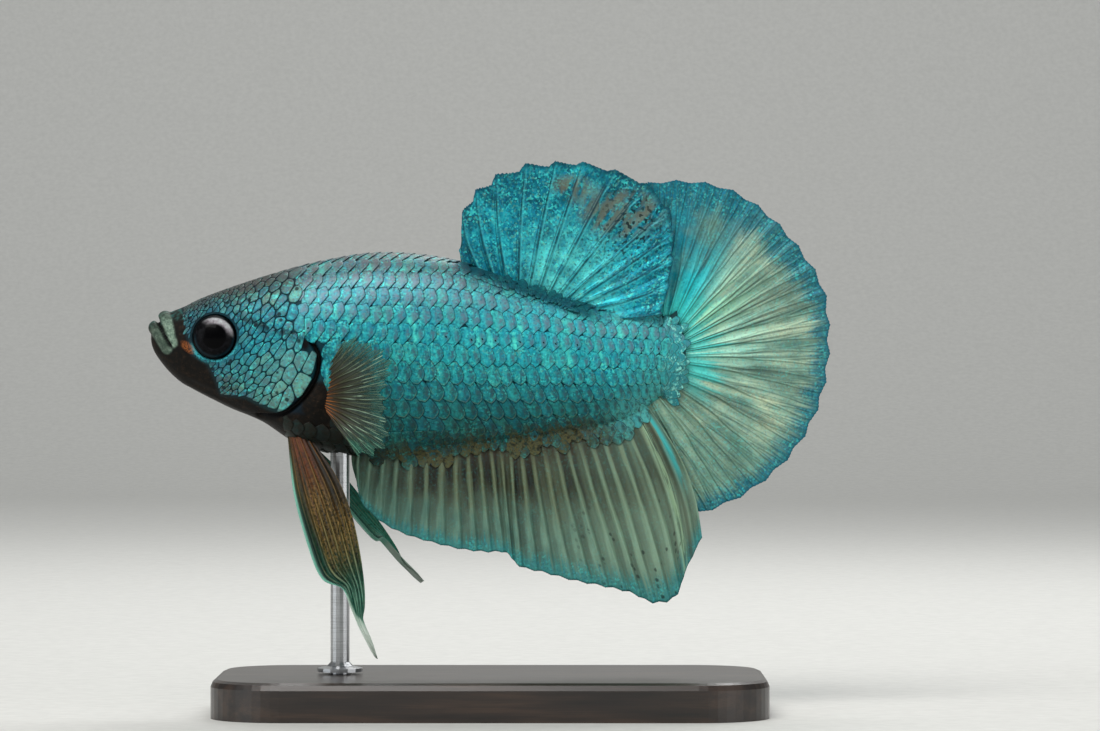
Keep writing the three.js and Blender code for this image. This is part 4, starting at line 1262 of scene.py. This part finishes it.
caudal_forks = ((0.3, 0.6), (0.6, 0.95))
caudal_finish, place = start_finish("tail fin")
out, across = place.mark("out"), place.mark("across")
off = off_rays(place, caudal_forks)
main_off = abs((across + 0.5) % 1.0 - 0.5)
streak = along_rays(place, 1.0, 3.0, 2.2, 2.2)
fine_streak = along_rays(place, 1.0, 2.0, 14.0, 5.0)
patchy = place.noise(0.4, 3.0)
band = along_rays(place, 1.0, 1.0, 0.9, 0.6)
colour = (streak * 0.6 + patchy * 0.4).colour([
    (0.34, 88, 132, 118), (0.45, 120, 158, 140), (0.54, 156, 188, 164), (0.66, 204, 220, 184),
])
upper = across.rise(12.8, 15.2)
lower = across.fall(2.0, 6.0)
near_root = out.fall(0.3, 0.78) * out.rise(0.03, 0.12)
at_root = (out + (streak - 0.5) * 0.8).fall(0.18, 0.36) * across.rise(3.5, 6.0)
wider = 0.07 * across.rise(9.0, 12.5)
rim = (out + wider + (streak - 0.5) * 0.3 + (fine_streak - 0.5) * 0.2).rise(0.85, 0.97)
colour = colour.coats([
    (88, 108, 94, band.fall(0.38, 0.5) * 0.55),
    (206, 226, 192, band.rise(0.52, 0.64) * across.rise(5.0, 8.0) * 0.5),
    (6, 132, 152, upper * (0.55 + 0.45 * patchy.rise(0.35, 0.55))),
    (112, 146, 126, upper * spotted(place, 47.2, 10.2, 1.6, 2.6) * 0.65),
    (108, 150, 128, lower * 0.45),
    (40, 214, 220, across.bell(14.5, 1.5) * near_root * streak.rise(0.36, 0.48) * 0.9),
    (168, 234, 196, across.bell(12.1, 1.3) * near_root * streak.rise(0.36, 0.5) * 0.85),
    (196, 252, 226, across.bell(8.8, 1.7) * near_root * streak.rise(0.38, 0.5) * 0.9),
    (72, 222, 214, at_root * 0.8),
    (8, 112, 130, rim * 0.9),
])
colour, grain = shimmer(place, colour, 0.35 + 0.35 * rim)
# Painted shade in the pleats beside each ray, and a grey-green painted shadow line along every ray and
# fork.
pleat_shade = main_off.rise(0.05, 0.11) * main_off.fall(0.14, 0.24) * (1 - out.rise(0.4, 0.9) * 0.75)
strong = 0.35 + 0.65 * across.bell(10.5, 4.0)
colour = colour.coats([
    (46, 68, 54, fine_streak.rise(0.56, 0.68) * (1 - rim) * 0.4),
    (40, 48, 32, pleat_shade * strong * (0.6 + 0.4 * patchy)),
    (58, 90, 82, off.bell(0.12, 0.05) * out.rise(0.3, 0.6) * 0.4),
    (10, 96, 116, out.rise(0.975, 1.0) * 0.8),
])
close_finish(caudal_finish, {
    "Base Color": colour, "Roughness": 0.42 + 0.15 * grain, "Metallic": 0.05 + 0.2 * rim,
    "Specular IOR Level": 0.25,
}, off.fall(0.02, 0.16) * 0.8 + fine_streak * 0.6, 0.5, 0.0001)
fin = fin_sheet("tail_web", caudal_place, caudal_rays, (620, 110), 0.1, (0.24, 0.07), (0.12, 0.06),
                0.14, 0.02, caudal_forks, caudal_finish)
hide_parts("caudal_fin")

# ---------------------------------------------------------------------------------------
# Anal fin. A long skirt along the belly on some twenty-six rays, olive and brown at its
# root, pale below, with a turquoise hem that drops in a step and ends in a corner.
anal_rays = 26
anal_roots = [(17.3, -8.2), (26.2, -7.9), (33.6, -7.1), (41.2, -5.4)]
anal_hem = [
    (17.4, -11.6), (17.7, -13.2), (19.3, -14.8), (21.3, -15.85), (23.6, -16.55), (25.9, -17.1),
    (28.0, -17.35), (29.8, -17.45), (30.9, -18.55), (33.0, -19.1), (35.4, -19.75), (37.9, -20.25),
    (40.2, -20.8), (42.2, -21.65), (44.0, -21.1), (44.9, -18.8), (46.2, -16.1),
]


def anal_place(u, v):
    root = on_path(anal_roots, u) + (0.0, 0.9)
    spot = between(root, on_path(anal_hem, u), v[..., None])
    bowed = np.sin(math.pi * v)
    x = spot[..., 0] + 1.1 * bowed * rise(u, 0.75, 1.0) - 0.5 * bowed * (1 - rise(u, 0, 0.1))
    return np.stack([x, swing(x) - 1.1 * v * u * u, spot[..., 1]], -1)


anal_forks = ((0.55, 0.95), (1.2, 2.0))
anal_finish, place = start_finish("skirt fin")
out, across = place.mark("out"), place.mark("across")
wander = along_rays(place, 1.0, 2.0, 0.8, 2.0) - 0.5
main_off = abs((across + wander * 0.55 + 0.5) % 1.0 - 0.5)
each = along_rays(place, 1.0, 0.0, 1.3, 0.5)
streak = along_rays(place, 1.0, 3.0, 2.2, 3.0)
fine_streak = along_rays(place, 1.0, 2.0, 9.0, 6.0)
patchy = place.noise(0.4, 3.0)
rear = across.rise(13.0, 22.0)
colour = (streak * 0.5 + patchy * 0.5).colour([
    (0.36, 74, 108, 96), (0.48, 88, 124, 108), (0.58, 104, 140, 122), (0.68, 124, 158, 138),
])
deep_down = out * (5.0 + 0.404 * across) / (3.4 + 0.16 * across)
olive = (deep_down - 0.7 * (patchy - 0.45) - 0.5 * (streak - 0.5)).fall(0.7, 1.4)
web_on = (main_off + 0.07 * olive + 0.2 * (fine_streak - 0.5)).rise(0.14, 0.32)
web_on = web_on * (0.6 + 0.4 * each.rise(0.35, 0.55))
middle = across.rise(3.0, 7.0) * across.fall(15.0, 21.0)
lit_end = 1 - across.rise(2.0, 8.0) * 0.5
hem = (out + (fine_streak - 0.5) * 0.25 + (1 - web_on) * 0.03).rise(0.86, 1.0)
colour = colour.coats([
    (148, 176, 148, rear * out.fall(0.75, 1.0) * 0.6),
    (116, 186, 172, rear * out.fall(0.15, 0.45) * streak.rise(0.4, 0.55) * 0.6),
    (112, 158, 140, across.fall(3.0, 9.0) * out.rise(0.3, 0.5) * 0.5),
    (98, 104, 74, olive * (0.45 + 0.4 * middle)),
    (25, 21, 11, web_on * olive * (0.7 + 0.26 * middle)),
    (60, 72, 60, web_on * (1 - olive) * (0.75 - 0.4 * out.rise(0.7, 1.0)) * (1.2 - 0.6 * lit_end)),
    (52, 44, 26, out.fall(0.14, 0.34) * (0.45 + 0.5 * streak.rise(0.42, 0.6))
     * across.fall(19.0, 23.0)),
    (44, 140, 140, hem * 0.7),
])
colour, grain = shimmer(place, colour, 0.08 + 0.35 * hem)
dots = place.node("CombineXYZ", {}, {0: across * 2.1, 1: out * 21.0})
kept_dots = dots.cells(1.0, "Color").part("X").rise(0.5, 0.54)
speckled = (dots.cells(1.0) + (fine_streak - 0.5) * 0.3).fall(0.17, 0.3) * kept_dots
speckled = speckled * across.rise(15.0, 19.5) * out.rise(0.4, 0.62) * across.fall(24.2, 24.6)
hem_glow = across.bell(25.3, 0.26) * out.fall(0.35, 0.7) * streak.rise(0.35, 0.5)
colour = colour.coats([
    (20, 34, 32, speckled * 0.75),
    (60, 62, 46, across.bell(24.9, 0.22) * 0.7),
    (60, 196, 196, hem_glow * 0.75),
    (164, 200, 160, across.bell(24.3, 0.22) * fine_streak.rise(0.4, 0.55) * 0.7),
    (60, 64, 50, across.bell(23.8, 0.16) * 0.5),
    (16, 84, 90, out.rise(0.98, 1.0) * 0.6),
])
close_finish(anal_finish, {
    "Base Color": colour, "Roughness": 0.44 + 0.15 * grain, "Metallic": 0.05 + 0.2 * hem,
    "Specular IOR Level": 0.3,
}, main_off.fall(0.05, 0.4) * 0.8 + fine_streak * 0.5, 0.5, 0.00012)
fin = fin_sheet("skirt_web", anal_place, anal_rays, (520, 90), 0.1, (0.26, 0.1), (0.2, 0.12), 0.13,
                0.012, anal_forks, anal_finish, 0, (0.14, 0.42))
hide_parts("anal_fin")
sheath("anal_sheath", anal_place, 24.6, lambda u: between(5.0, 15.5, u), 4, 0.6, 0.8, -1)

# ---------------------------------------------------------------------------------------
# Breast fins. A glass-clear fan on each side just behind the gill cover, cupped outward,
# on rays that are brown and orange at their root and frayed at their ends.
breast_rays = 13
breast_tips = [
    (16.6, 0.5), (17.6, 0.75), (19.0, 0.1), (20.1, -0.5), (20.7, -1.7), (20.5, -2.7), (20.0, -3.9),
    (20.2, -4.9), (20.1, -5.9), (20.4, -7.2), (20.1, -8.4), (19.1, -9.2), (17.7, -9.3),
]
breast_roots = [(14.5, -3.1), (14.75, -3.9), (14.95, -4.7), (15.2, -5.5)]


def breast_place(side):
    def place_at(u, v):
        spot = between(on_path(breast_roots, u), on_path(breast_tips, u), v[..., None])
        out = (spot[..., 0] - 14.7) * math.tan(math.radians(34))
        cup = 0.9 * v * v
        y = side * (3.95 + out - 0.6 * cup - 0.5 * (1 - v) ** 2)
        return np.stack([spot[..., 0] - 0.25 * (1 - v), y, spot[..., 1]], -1)
    return place_at


breast_forks = ((0.2, 0.55), (0.5, 0.95))
breast_finish, place = start_finish("clear fin")
out, across = place.mark("out"), place.mark("across")
off = off_rays(place, breast_forks)
streak = along_rays(place, 1.0, 3.0, 4.0, 3.0)
patchy = along_rays(place, 1.0, 2.0, 0.6, 1.5)
colour = (out + (streak - 0.5) * 0.4).colour([
    (0.02, 52, 32, 17), (0.16, 50, 40, 24), (0.35, 42, 44, 32), (0.7, 44, 62, 52), (0.95, 46, 92, 80),
])
ray_on = off.fall(0.012, 0.05)
each = along_rays(place, 1.0, 0.0, 2.6, 0.25)
# Bright streaks along the rays: partly their silvery colour, partly painted highlights.
silver = streak.rise(0.46, 0.58) * (0.35 + 0.65 * patchy.rise(0.4, 0.6))
silver = silver * (0.2 + 0.8 * each.rise(0.4, 0.56)) * (0.35 + 0.65 * across.rise(2.0, 4.0))
colour = colour.coats([
    (88, 96, 66, ray_on * out.rise(0.1, 0.35) * 0.5),
    (176, 206, 178, ray_on * out.rise(0.25, 0.5) * silver),
    (54, 136, 112, across.rise(9.5, 12.5) * out.rise(0.4, 0.8) * streak.rise(0.42, 0.6) * 0.6),
    (196, 116, 50, ray_on * streak.rise(0.4, 0.5) * out.fall(0.06, 0.3) * 0.8),
])
clear = 0.35 + 0.65 * (ray_on * 0.8 + 1 - out.rise(0.25, 0.85)).rise(0.0, 0.8)
close_finish(breast_finish, {
    "Base Color": colour, "Roughness": 0.45, "Alpha": clear, "Specular IOR Level": 0.3,
}, ray_on, 0.4, 0.00006)
for side, name in ((-1, "left"), (1, "right")):
    fin = fin_sheet(f"{name}_breast_web", breast_place(side), breast_rays, (312, 72), 0.04,
                    (0.14, 0.05), (0.05, 0.03), 0.06, 0.11, breast_forks, breast_finish)
    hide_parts(f"pectoral_fin_{name}")

# ---------------------------------------------------------------------------------------
# Belly fins. Two narrow blades hang from the breast: a stout pale spine in front, then a
# few long rays with dark web between them, which run out into a white thread.
belly_leading = [
    (-0.9, 0.4), (-0.36, -4.26), (0.84, -8.57), (2.15, -11.75), (3.95, -12.65), (4.75, -14.34),
    (5.42, -15.64), (6.15, -17.19), (6.82, -18.66),
]
belly_trailing = [
    (0.9, 0.4), (3.29, -3.22), (4.6, -6.39), (5.35, -9.59), (5.75, -12.44), (5.8, -14.26),
    (5.62, -15.64), (6.33, -17.19), (6.98, -18.7),
]
belly_rays = 7
belly_root = (12.5, 1.35, -8.0)


def turned_about(axis, degrees):
    """The matrix that turns a point about one of the three axes."""
    angle = math.radians(degrees)
    first, second = (axis + 1) % 3, (axis + 2) % 3
    matrix = np.eye(3)
    matrix[first, first] = matrix[second, second] = math.cos(angle)
    matrix[first, second] = -math.sin(angle)
    matrix[second, first] = math.sin(angle)
    return matrix


def belly_place(side, sweep, lean, turn, scale):
    pose = turned_about(0, side * lean) @ turned_about(1, -sweep) @ turned_about(2, side * turn) * scale

    def place_at(u, v):
        spot = between(on_path(belly_leading, v), on_path(belly_trailing, v), u[..., None])
        bowed = side * 0.5 * np.sin(math.pi * u) * (1 - v)
        local = np.stack([spot[..., 0], bowed, spot[..., 1]], -1)
        return local @ pose.T + np.array([belly_root[0], side * belly_root[1], belly_root[2]])
    return place_at


belly_forks = ((0.3, 0.6), (2.0, 3.0))
left_web_stops = [
    (0.0, 92, 44, 16), (0.1, 80, 46, 16), (0.2, 64, 52, 20), (0.3, 54, 62, 34), (0.4, 30, 70, 52),
    (0.52, 28, 84, 68), (0.85, 46, 110, 94),
]
# The right belly fin sits behind the body and gets less light, so its web colours are lightened: painted
# light.
right_web_brightened_stops = [(0.0, 34, 60, 52), (0.3, 66, 146, 128), (0.6, 78, 180, 156), (0.85, 110, 160, 150)]
for side, name, pose in ((-1, "left", (0, 14, 12, 1)), (1, "right", (31.6, 16, 83, 0.95))):
    belly_finish, place = start_finish(f"{name} belly fin")
    out, across = place.mark("out"), place.mark("across")
    off = off_rays(place, belly_forks)
    streak = along_rays(place, 1.0, 3.0, 3.0, 6.0)
    web = out + (streak - 0.5) * 0.5 + 0.2 * across.fall(0.3, 2.2)
    web = web.colour(left_web_stops if side < 0 else right_web_brightened_stops)
    front = across.fall(0.6, 1.6) * out.rise(0.1, 0.2)
    behind = across.rise(4.0, 5.6) * out.fall(0.16, 0.3) * (0.85 if side < 0 else 0.0)
    mottle = place.noise(5.0, 3.0)
    amber = across.rise(1.4, 2.6) * out.rise(0.08, 0.2) * out.fall(0.28, 0.48) * (1 - behind)
    amber = amber * (0.5 * streak + 0.5 * mottle).rise(0.42, 0.56) * (0.7 if side < 0 else 0.0)
    web = web.coats([
        (8, 40, 34, front * 0.85),
        (20, 22, 16, behind),
        (148, 118, 66, amber),
    ])
    dim = mottle.fall(0.36, 0.5) * 0.5 + streak.rise(0.5, 0.6) * 0.6
    # On the right fin the dark mottling is weaker, as part of that painted light.
    colour = web.mix(paint(8, 18, 14), dim * (1 if side < 0 else 0.4))
    speckled = place.cells(5.0, "Color").part("X")
    colour = colour.coats([
        (70, 130, 104, speckled.rise(0.7, 1.0) * out.rise(0.3, 0.6) * 0.4),
        (10, 12, 8, speckled.fall(0.0, 0.35) * 0.5),
    ])
    ray_on = off.fall(0.025, 0.08)
    gold = (out + 0.4 * (streak - 0.5)).colour([
        (0.0, 112, 58, 26), (0.16, 124, 94, 44), (0.4, 132, 130, 84), (0.55, 118, 164, 140),
    ])
    colour = colour.mix(gold, ray_on * (1 - front) * streak.rise(0.44, 0.56) * (0.6 if side < 0 else 0.3))
    spine = (across * place.mark("gap")).fall(0.12, 0.26)
    colour = colour.coats([
        (122, 190, 168, spine * out.rise(0.03, 0.12) * 0.85),
        (190, 202, 190, spine * out.rise(0.5, 0.6) * 0.8),
        (200, 208, 200, out.rise(0.72, 0.84) * (0.8 if side < 0 else 0.6)),
    ])
    close_finish(belly_finish, {
        "Base Color": colour, "Roughness": 0.45, "Specular IOR Level": 0.25,
    }, ray_on * 0.7 + streak * 0.5, 0.35, 0.00008)
    fin = fin_sheet(f"{name}_belly_web", belly_place(side, *pose), belly_rays, (120, 150), 0.14,
                    (0.3, 0.16), (0.12, 0.08), 0.1, 0.0, belly_forks, belly_finish)
    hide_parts(f"pelvic_fin_{name}")

# ---------------------------------------------------------------------------------------
# Eyes. A clear domed cornea over a dark iris with a silver-pink crescent above a large
# pupil, set in a socket of skin. Bettas have no lids.
pupil_radius = 0.98
eye_finish, place = start_finish("eye")
px, pz = place.part("X") - eye_x, place.part("Z") - eye_z
from_middle = off_eye(place)
threads = place.noise(3.5, 3.0)
iris = threads.colour([(0.35, 6, 6, 8), (0.6, 16, 16, 19), (0.75, 30, 28, 32)])
crescent = (0.9 * pz + 0.42 * px).rise(0.5, 1.2) * (0.6 + 0.4 * px.rise(-1.2, 0.0))
crescent = crescent * from_middle.fall(1.5, 1.66) * from_middle.rise(0.98, 1.22)
iris = iris.mix((threads * 0.6 + from_middle * 0.25 - 0.1).colour([
    (0.3, 72, 68, 74), (0.5, 150, 144, 150), (0.68, 186, 192, 192),
]), crescent)
blue_rim = from_middle.bell(1.6, 0.1) * pz.fall(-0.4, 0.5)
iris = iris.mix(paint(30, 84, 100), blue_rim * 0.15)
colour = iris.mix(paint(2, 2, 3), from_middle.fall(pupil_radius - 0.04, pupil_radius + 0.04))
colour = colour.mix(paint(7, 9, 11), from_middle.rise(1.66, 1.74))
close_finish(eye_finish, {
    "Base Color": colour, "Roughness": 0.4, "Specular IOR Level": 0.03, "Coat Weight": 0.05,
    "Coat Roughness": 0.02,
})
ball_sides, ball_rings = 72, 35
around = np.linspace(0, 2 * math.pi, ball_sides, endpoint=False)
lift_turn = np.linspace(0, math.pi, ball_rings + 2)[1:-1, None]
for side, name in ((-1, "left"), (1, "right")):
    rings = np.stack([
        eye_x + ball_radius * np.sin(lift_turn) * np.cos(around),
        side * (eye_y + ball_depth * np.cos(lift_turn)) + 0 * around,
        eye_z + ball_radius * np.sin(lift_turn) * np.sin(around),
    ], -1).reshape(-1, 3)
    poles = [(eye_x, side * (eye_y + ball_depth), eye_z), (eye_x, side * (eye_y - ball_depth), eye_z)]
    j = np.arange(ball_sides)
    k = (j + 1) % ball_sides
    ring = ball_sides * np.arange(ball_rings)[:, None]
    quads = np.stack([ring[:-1] + j, ring[1:] + j, ring[1:] + k, ring[:-1] + k], -1).reshape(-1, 4)
    front_pole = np.full(ball_sides, len(rings))
    caps = np.concatenate([np.stack([front_pole, j, k], -1),
                           np.stack([front_pole + 1, ring[-1] + k, ring[-1] + j], -1)])
    if side < 0:
        quads, caps = quads[:, ::-1], caps[:, ::-1]
    points = np.concatenate([rings, poles])
    flat_radius = np.concatenate([np.repeat(np.linspace(0.02, 1, ball_rings), ball_sides), [0, 1.0]])
    turns = np.concatenate([np.tile(around, ball_rings), [0, 0]])
    chart = 0.5 + 0.48 * flat_radius[:, None] * np.stack([np.cos(turns), np.sin(turns)], -1)
    ball = add_piece(f"{name}_eyeball", points, [quads, caps], eye_finish, [("OFBake", chart)])
    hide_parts(f"eye_{name}")

# ---------------------------------------------------------------------------------------
# Stand. A stained hardwood base with eased edges carries one brushed steel rod, which
# stands in a turned flange and enters the belly just behind the belly fins.
wood, place = start_finish("stained wood")
long_grain = place.noise(0.35, 5.0, (0.25, 3.0, 3.0))
pores = place.noise(1.6, 3.0, (0.12, 6.0, 6.0))
colour = (long_grain * 0.75 + pores * 0.25).colour([
    (0.32, 20, 15, 12), (0.5, 38, 28, 22), (0.62, 56, 41, 31), (0.75, 30, 22, 18),
])
close_finish(wood, {
    "Base Color": colour, "Roughness": 0.32 + 0.2 * pores, "Coat Weight": 0.4, "Coat Roughness": 0.18,
}, pores, 0.12, 0.00005)
steel, place = start_finish("brushed steel")
turned_marks = place.noise(1.0, 3.0, (0.3, 0.3, 14.0))
close_finish(steel, {
    "Base Color": turned_marks.colour([(0.3, 168, 170, 172), (0.7, 196, 198, 200)]),
    "Metallic": 1.0, "Roughness": 0.22 + 0.16 * turned_marks,
}, turned_marks, 0.1, 0.00002)
for name, finish in (("stand_base", wood), ("stand_rod", steel)):
    made = bpy.data.objects[name]
    made.data.materials.clear()
    made.data.materials.append(finish)

# ---------------------------------------------------------------------------------------
# Studio table, lights and camera. A pale sweep of paper runs up behind the model. A large
# soft light hangs above and in front of it, with others at each side, behind it and over
# the paper.
paper, place = start_finish("pale paper")
grain = place.noise(0.8, 4.0)
close_finish(paper, {
    "Base Color": grain.colour([(0.3, 206, 206, 202), (0.7, 214, 214, 210)]),
    "Roughness": 0.85,
}, grain, 0.1, 0.0001)
bend = [(0.65 + 0.3 * math.sin(a), 0.3 - 0.3 * math.cos(a)) for a in np.linspace(0, math.pi / 2, 48)]
paper_line = [(-1.6, 0.0), *bend, (0.95, 1.6)]
paper_points = [(side * 2.4, y, z) for y, z in paper_line for side in (-1, 1)]
paper_faces = [(2 * i, 2 * i + 1, 2 * i + 3, 2 * i + 2) for i in range(len(paper_line) - 1)]
mesh = bpy.data.meshes.new("paper_sweep")
mesh.from_pydata(paper_points, [], paper_faces)
mesh.polygons.foreach_set("use_smooth", [True] * len(paper_faces))
mesh.materials.append(paper)
sweep = add_object("paper_sweep", mesh)
sweep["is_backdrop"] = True


def soft_light(name, spot, aim, size, power, colour):
    lamp = bpy.data.lights.new(name, "AREA")
    lamp.shape = "RECTANGLE"
    lamp.size, lamp.size_y = size
    lamp.energy = power
    lamp.color = colour
    held = add_object(name, lamp)
    held.location = spot
    direction = Vector(aim) - Vector(spot)
    held.rotation_euler = direction.to_track_quat("-Z", "Y").to_euler()


soft_light("key light", (-0.12, -0.28, 0.36), (0, 0, 0.03), (0.3, 0.22), 1.5, (1.0, 0.98, 0.95))
soft_light("left fill", (-0.4, -0.25, 0.1), (0, 0, 0.03), (0.3, 0.3), 0.55, (0.92, 0.97, 1.0))
soft_light("right fill", (0.42, -0.3, 0.12), (0, 0, 0.03), (0.3, 0.3), 0.6, (1.0, 1.0, 1.0))
soft_light("back light", (0.1, 0.22, 0.3), (0, 0, 0.03), (0.3, 0.15), 0.7, (1.0, 1.0, 1.0))
soft_light("paper light", (0.0, 0.35, 0.75), (0, 0.8, 0.05), (0.6, 0.3), 2.4, (1.0, 1.0, 1.0))
world = bpy.data.worlds.new("studio")
world.use_nodes = True
world.node_tree.nodes["Background"].inputs[0].default_value = (0.72, 0.76, 0.8, 1)
world.node_tree.nodes["Background"].inputs[1].default_value = 0.22
bpy.context.scene.world = world
bpy.context.scene.view_settings.view_transform = "Standard"

lens = bpy.data.cameras.new("studio camera")
lens.lens = 156.5
lens.sensor_width = 36.0
lens.clip_start = 0.01
camera = add_object("studio camera", lens)
camera.location = (0.00493, -0.4, 0.02899)
camera.rotation_euler = (math.pi / 2, 0, 0)
bpy.context.scene.camera = camera

sizes = {"cad": [list(corner) for corner in cad_box], "visual": [list(c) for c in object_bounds()]}
